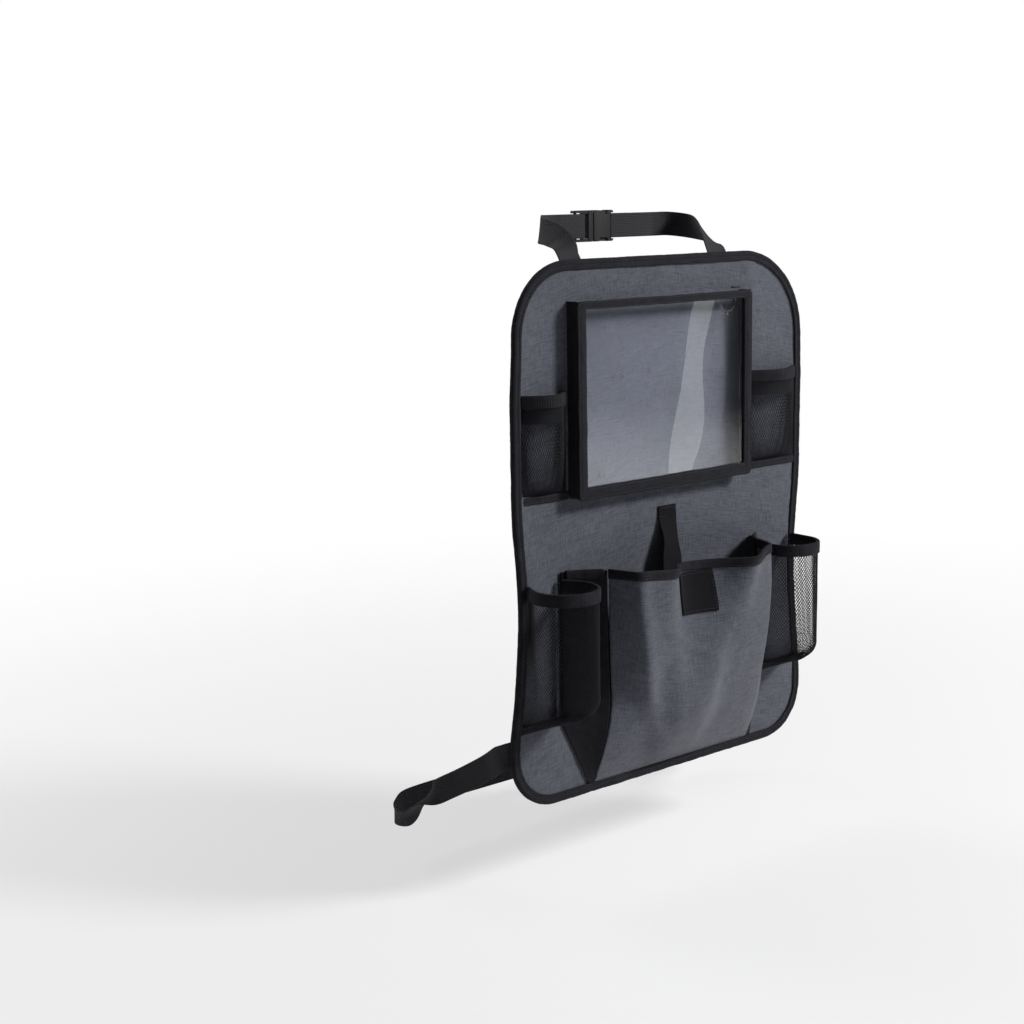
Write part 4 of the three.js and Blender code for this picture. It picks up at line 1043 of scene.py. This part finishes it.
def strap_turn(points, acrosses, bar_x, bar_y, heading, tail):
    """The strap's end, round a buckle bar that stands upright and back along itself."""
    z = points[-1].z
    upright = Vector((0, 0, -1 if acrosses[-1].z < 0 else 1))
    for i in range(13):
        angle = -math.pi / 2 + math.pi * i / 12
        reach = heading * TURN_RADIUS * math.cos(angle)
        points.append(Vector((bar_x + reach, bar_y + TURN_RADIUS * math.sin(angle), z)))
    for i in range(1, 13):
        points.append(Vector((bar_x - heading * tail * i / 12, bar_y + TURN_RADIUS, z)))
    return webbing_stations(points, acrosses + [upright] * 25)


def box_stitches(name, low_x, high_x, low_z, high_z, y):
    """A sewn box with a cross in it, on the back of a strap's end."""
    line = [(low_x, low_z), (high_x, low_z), (high_x, high_z), (low_x, high_z), (low_x, low_z),
            (high_x, high_z), (high_x, low_z), (low_x, high_z)]
    stitches(name, [Vector((x, y, z)) for x, z in line], -towards_us, 2.4, 0.9)


SEWN_LENGTH = 34
SEWN_FOOT = TOP - BINDING_FACE - SEWN_LENGTH
BUCKLE_RISE = 30
HEADREST_SEAM_X = 102
SLANT = 22
# Rows on the panel: share of the slant, share of the sewn length, z of the width's direction.
# Rows in the air: share of the slant, shares of the way back and up, x and z of the width's direction.
HEADREST_ROWS = {
    "left": (
        ((0, 0, 0), (-0.15, 0.44, 0.2), (-0.6, 0.91, 0.35)),
        ((-1, 0.005, 0.13, -1, 0.3), (-0.95, 0.1, 0.5, -0.95, 0.5), (-0.7, 0.35, 0.77, -0.7, 0.8),
         (-0.3, 0.69, 0.93, -0.2, 1)),
    ),
    "right": (
        ((0, 0, 0), (0.15, 0.44, -0.2), (0.6, 0.91, -0.3)),
        ((1, 0.005, 0.13, -1, -0.1), (1, 0.1, 0.47, -0.9, 0.4), (0.4, 0.35, 0.7, -0.6, 0.8),
         (0.1, 0.67, 0.9, -0.1, 1)),
    ),
}
for side_name, side, heading, tail in (("left", -1, 1, 52), ("right", 1, -1, 28)):
    on_panel, in_air = HEADREST_ROWS[side_name]
    route = []
    for slanted, share, across_z in on_panel:
        y = OVER_TAPE_Y if share > 0.9 else SEWN_Y
        x = side * (HEADREST_SEAM_X - slanted * SLANT)
        route.append((x, y, SEWN_FOOT + share * SEWN_LENGTH, -side, 0, across_z))
    for slanted, back, up, across_x, across_z in in_air:
        y = OVER_TAPE_Y + back * (HEADREST_BAR_Y - OVER_TAPE_Y)
        x = side * (HEADREST_SEAM_X - slanted * SLANT)
        route.append((x, y, TOP + up * BUCKLE_RISE, side * across_x, 0, across_z))
    y = OVER_TAPE_Y + 0.9 * (HEADREST_BAR_Y - OVER_TAPE_Y)
    route.append((side * 88, y, TOP + BUCKLE_RISE, 0, 0, 1))
    for x in (72.2, 59.8):
        route.append((side * x, HEADREST_BAR_Y - TURN_RADIUS, TOP + BUCKLE_RISE, 0, 0, 1))
    bar_x = HEADREST_BUCKLE_X + BAR_X[side_name]
    stations = strap_turn(*strap_run(route, 120), bar_x, HEADREST_BAR_Y, heading, tail)
    strap = band(f"headrest_webbing_{side_name}", stations, webbing_section, webbing)
    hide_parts(f"headrest_strap_{side_name}")
    x = side * HEADREST_SEAM_X
    box_stitches(f"headrest_{side_name}_box_stitches", x - 10, x + 10, SEWN_FOOT + 2, SEWN_FOOT + 20,
                 SEWN_Y + 0.78)

side_run_y = SEAT_BAR_Y - TURN_RADIUS
side_z = -208
SIDE_DROP = 95
edge = half_width(side_z) + BINDING_PROUD
inner_edge = edge - BINDING_FACE
for side_name, side, twist, heading, tail in (("left", -1, 1, 1, 62), ("right", 1, 0, -1, 28)):
    turned = 1 - 2 * twist
    route = [(side * x, y, side_z, 0, 0, 1) for x, y in (
        (inner_edge - 29.9, SEWN_Y), (inner_edge - 13.9, SEWN_Y),
        (inner_edge - 4.1, OVER_TAPE_Y), (edge - 2.4, OVER_TAPE_Y + GAP),
    )]
    for out, depth, down, *across in (
        (0.13, 0.028, 0.03, 0, 0, 1),
        (0.23, 0.145, 0.19, 0, 0.3, 1),
        (0.5, 0.3, 0.38, 0, 0.5, 1),
        (0.77, 0.43, 0.53, 0, 0.5, 1),
        (0.93, 0.535, 0.66, twist, 0.5 * (1 - twist), 1 - 0.6 * twist),
        (1, 0.635, 0.83, twist, 0.5 * (1 - twist), 1 - twist),
        (0.93, 0.755, 0.98, 0.5 * twist, 0.4 - 0.8 * twist, 1 - 1.8 * twist),
        (0.67, 0.88, 1.01, 0, 0, turned),
        (-0.07, 0.97, 1, 0, 0, turned),
        (-1.17, 1, 1, 0, 0, turned),
    ):
        back = OVER_TAPE_Y + depth * (side_run_y - OVER_TAPE_Y)
        route.append((side * (edge + 30 * out), back, side_z - SIDE_DROP * down, *across))
    for share in (0.57, 0.24):
        route.append((side * share * edge, side_run_y, side_z - SIDE_DROP, 0, 0, turned))
    stations = strap_turn(*strap_run(route, 170), BAR_X[side_name], SEAT_BAR_Y, heading, tail)
    strap = band(f"side_webbing_{side_name}", stations, webbing_section, webbing)
    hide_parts(f"side_strap_{side_name}")
    xs = sorted((side * (inner_edge - 28.5), side * (inner_edge - 12)))
    box_stitches(f"side_{side_name}_box_stitches", *xs, side_z - 10, side_z + 10, SEWN_Y + 0.78)

# Buckles
# Side-release buckles moulded in black acetal: satin faces with a fine spark-eroded grain.
# The solids are the real shape, so they stay and take this finish.
acetal, acetal_shader = plain_material("black_acetal", (0.011, 0.011, 0.013), 0.36)
acetal_spot = in_object(acetal)
acetal_grain = stretched_noise(acetal, acetal_spot, 0.5, 0.5, 3)
acetal_worn = stretched_noise(acetal, acetal_spot, 7, 7, 3, 3.3)
acetal_rough = node_after(acetal, "MapRange", (acetal_worn, "Value"), To_Min=0.28, To_Max=0.5)
acetal.node_tree.links.new(acetal_rough.outputs["Result"], acetal_shader.inputs["Roughness"])
add_bump(acetal, acetal_shader, acetal_grain, 0.35, 0.00012)
for buckle in ("headrest", "side"):
    for half in ("socket", "plug"):
        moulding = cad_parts[f"{buckle}_buckle_{half}"]
        moulding.data.materials.clear()
        moulding.data.materials.append(acetal)
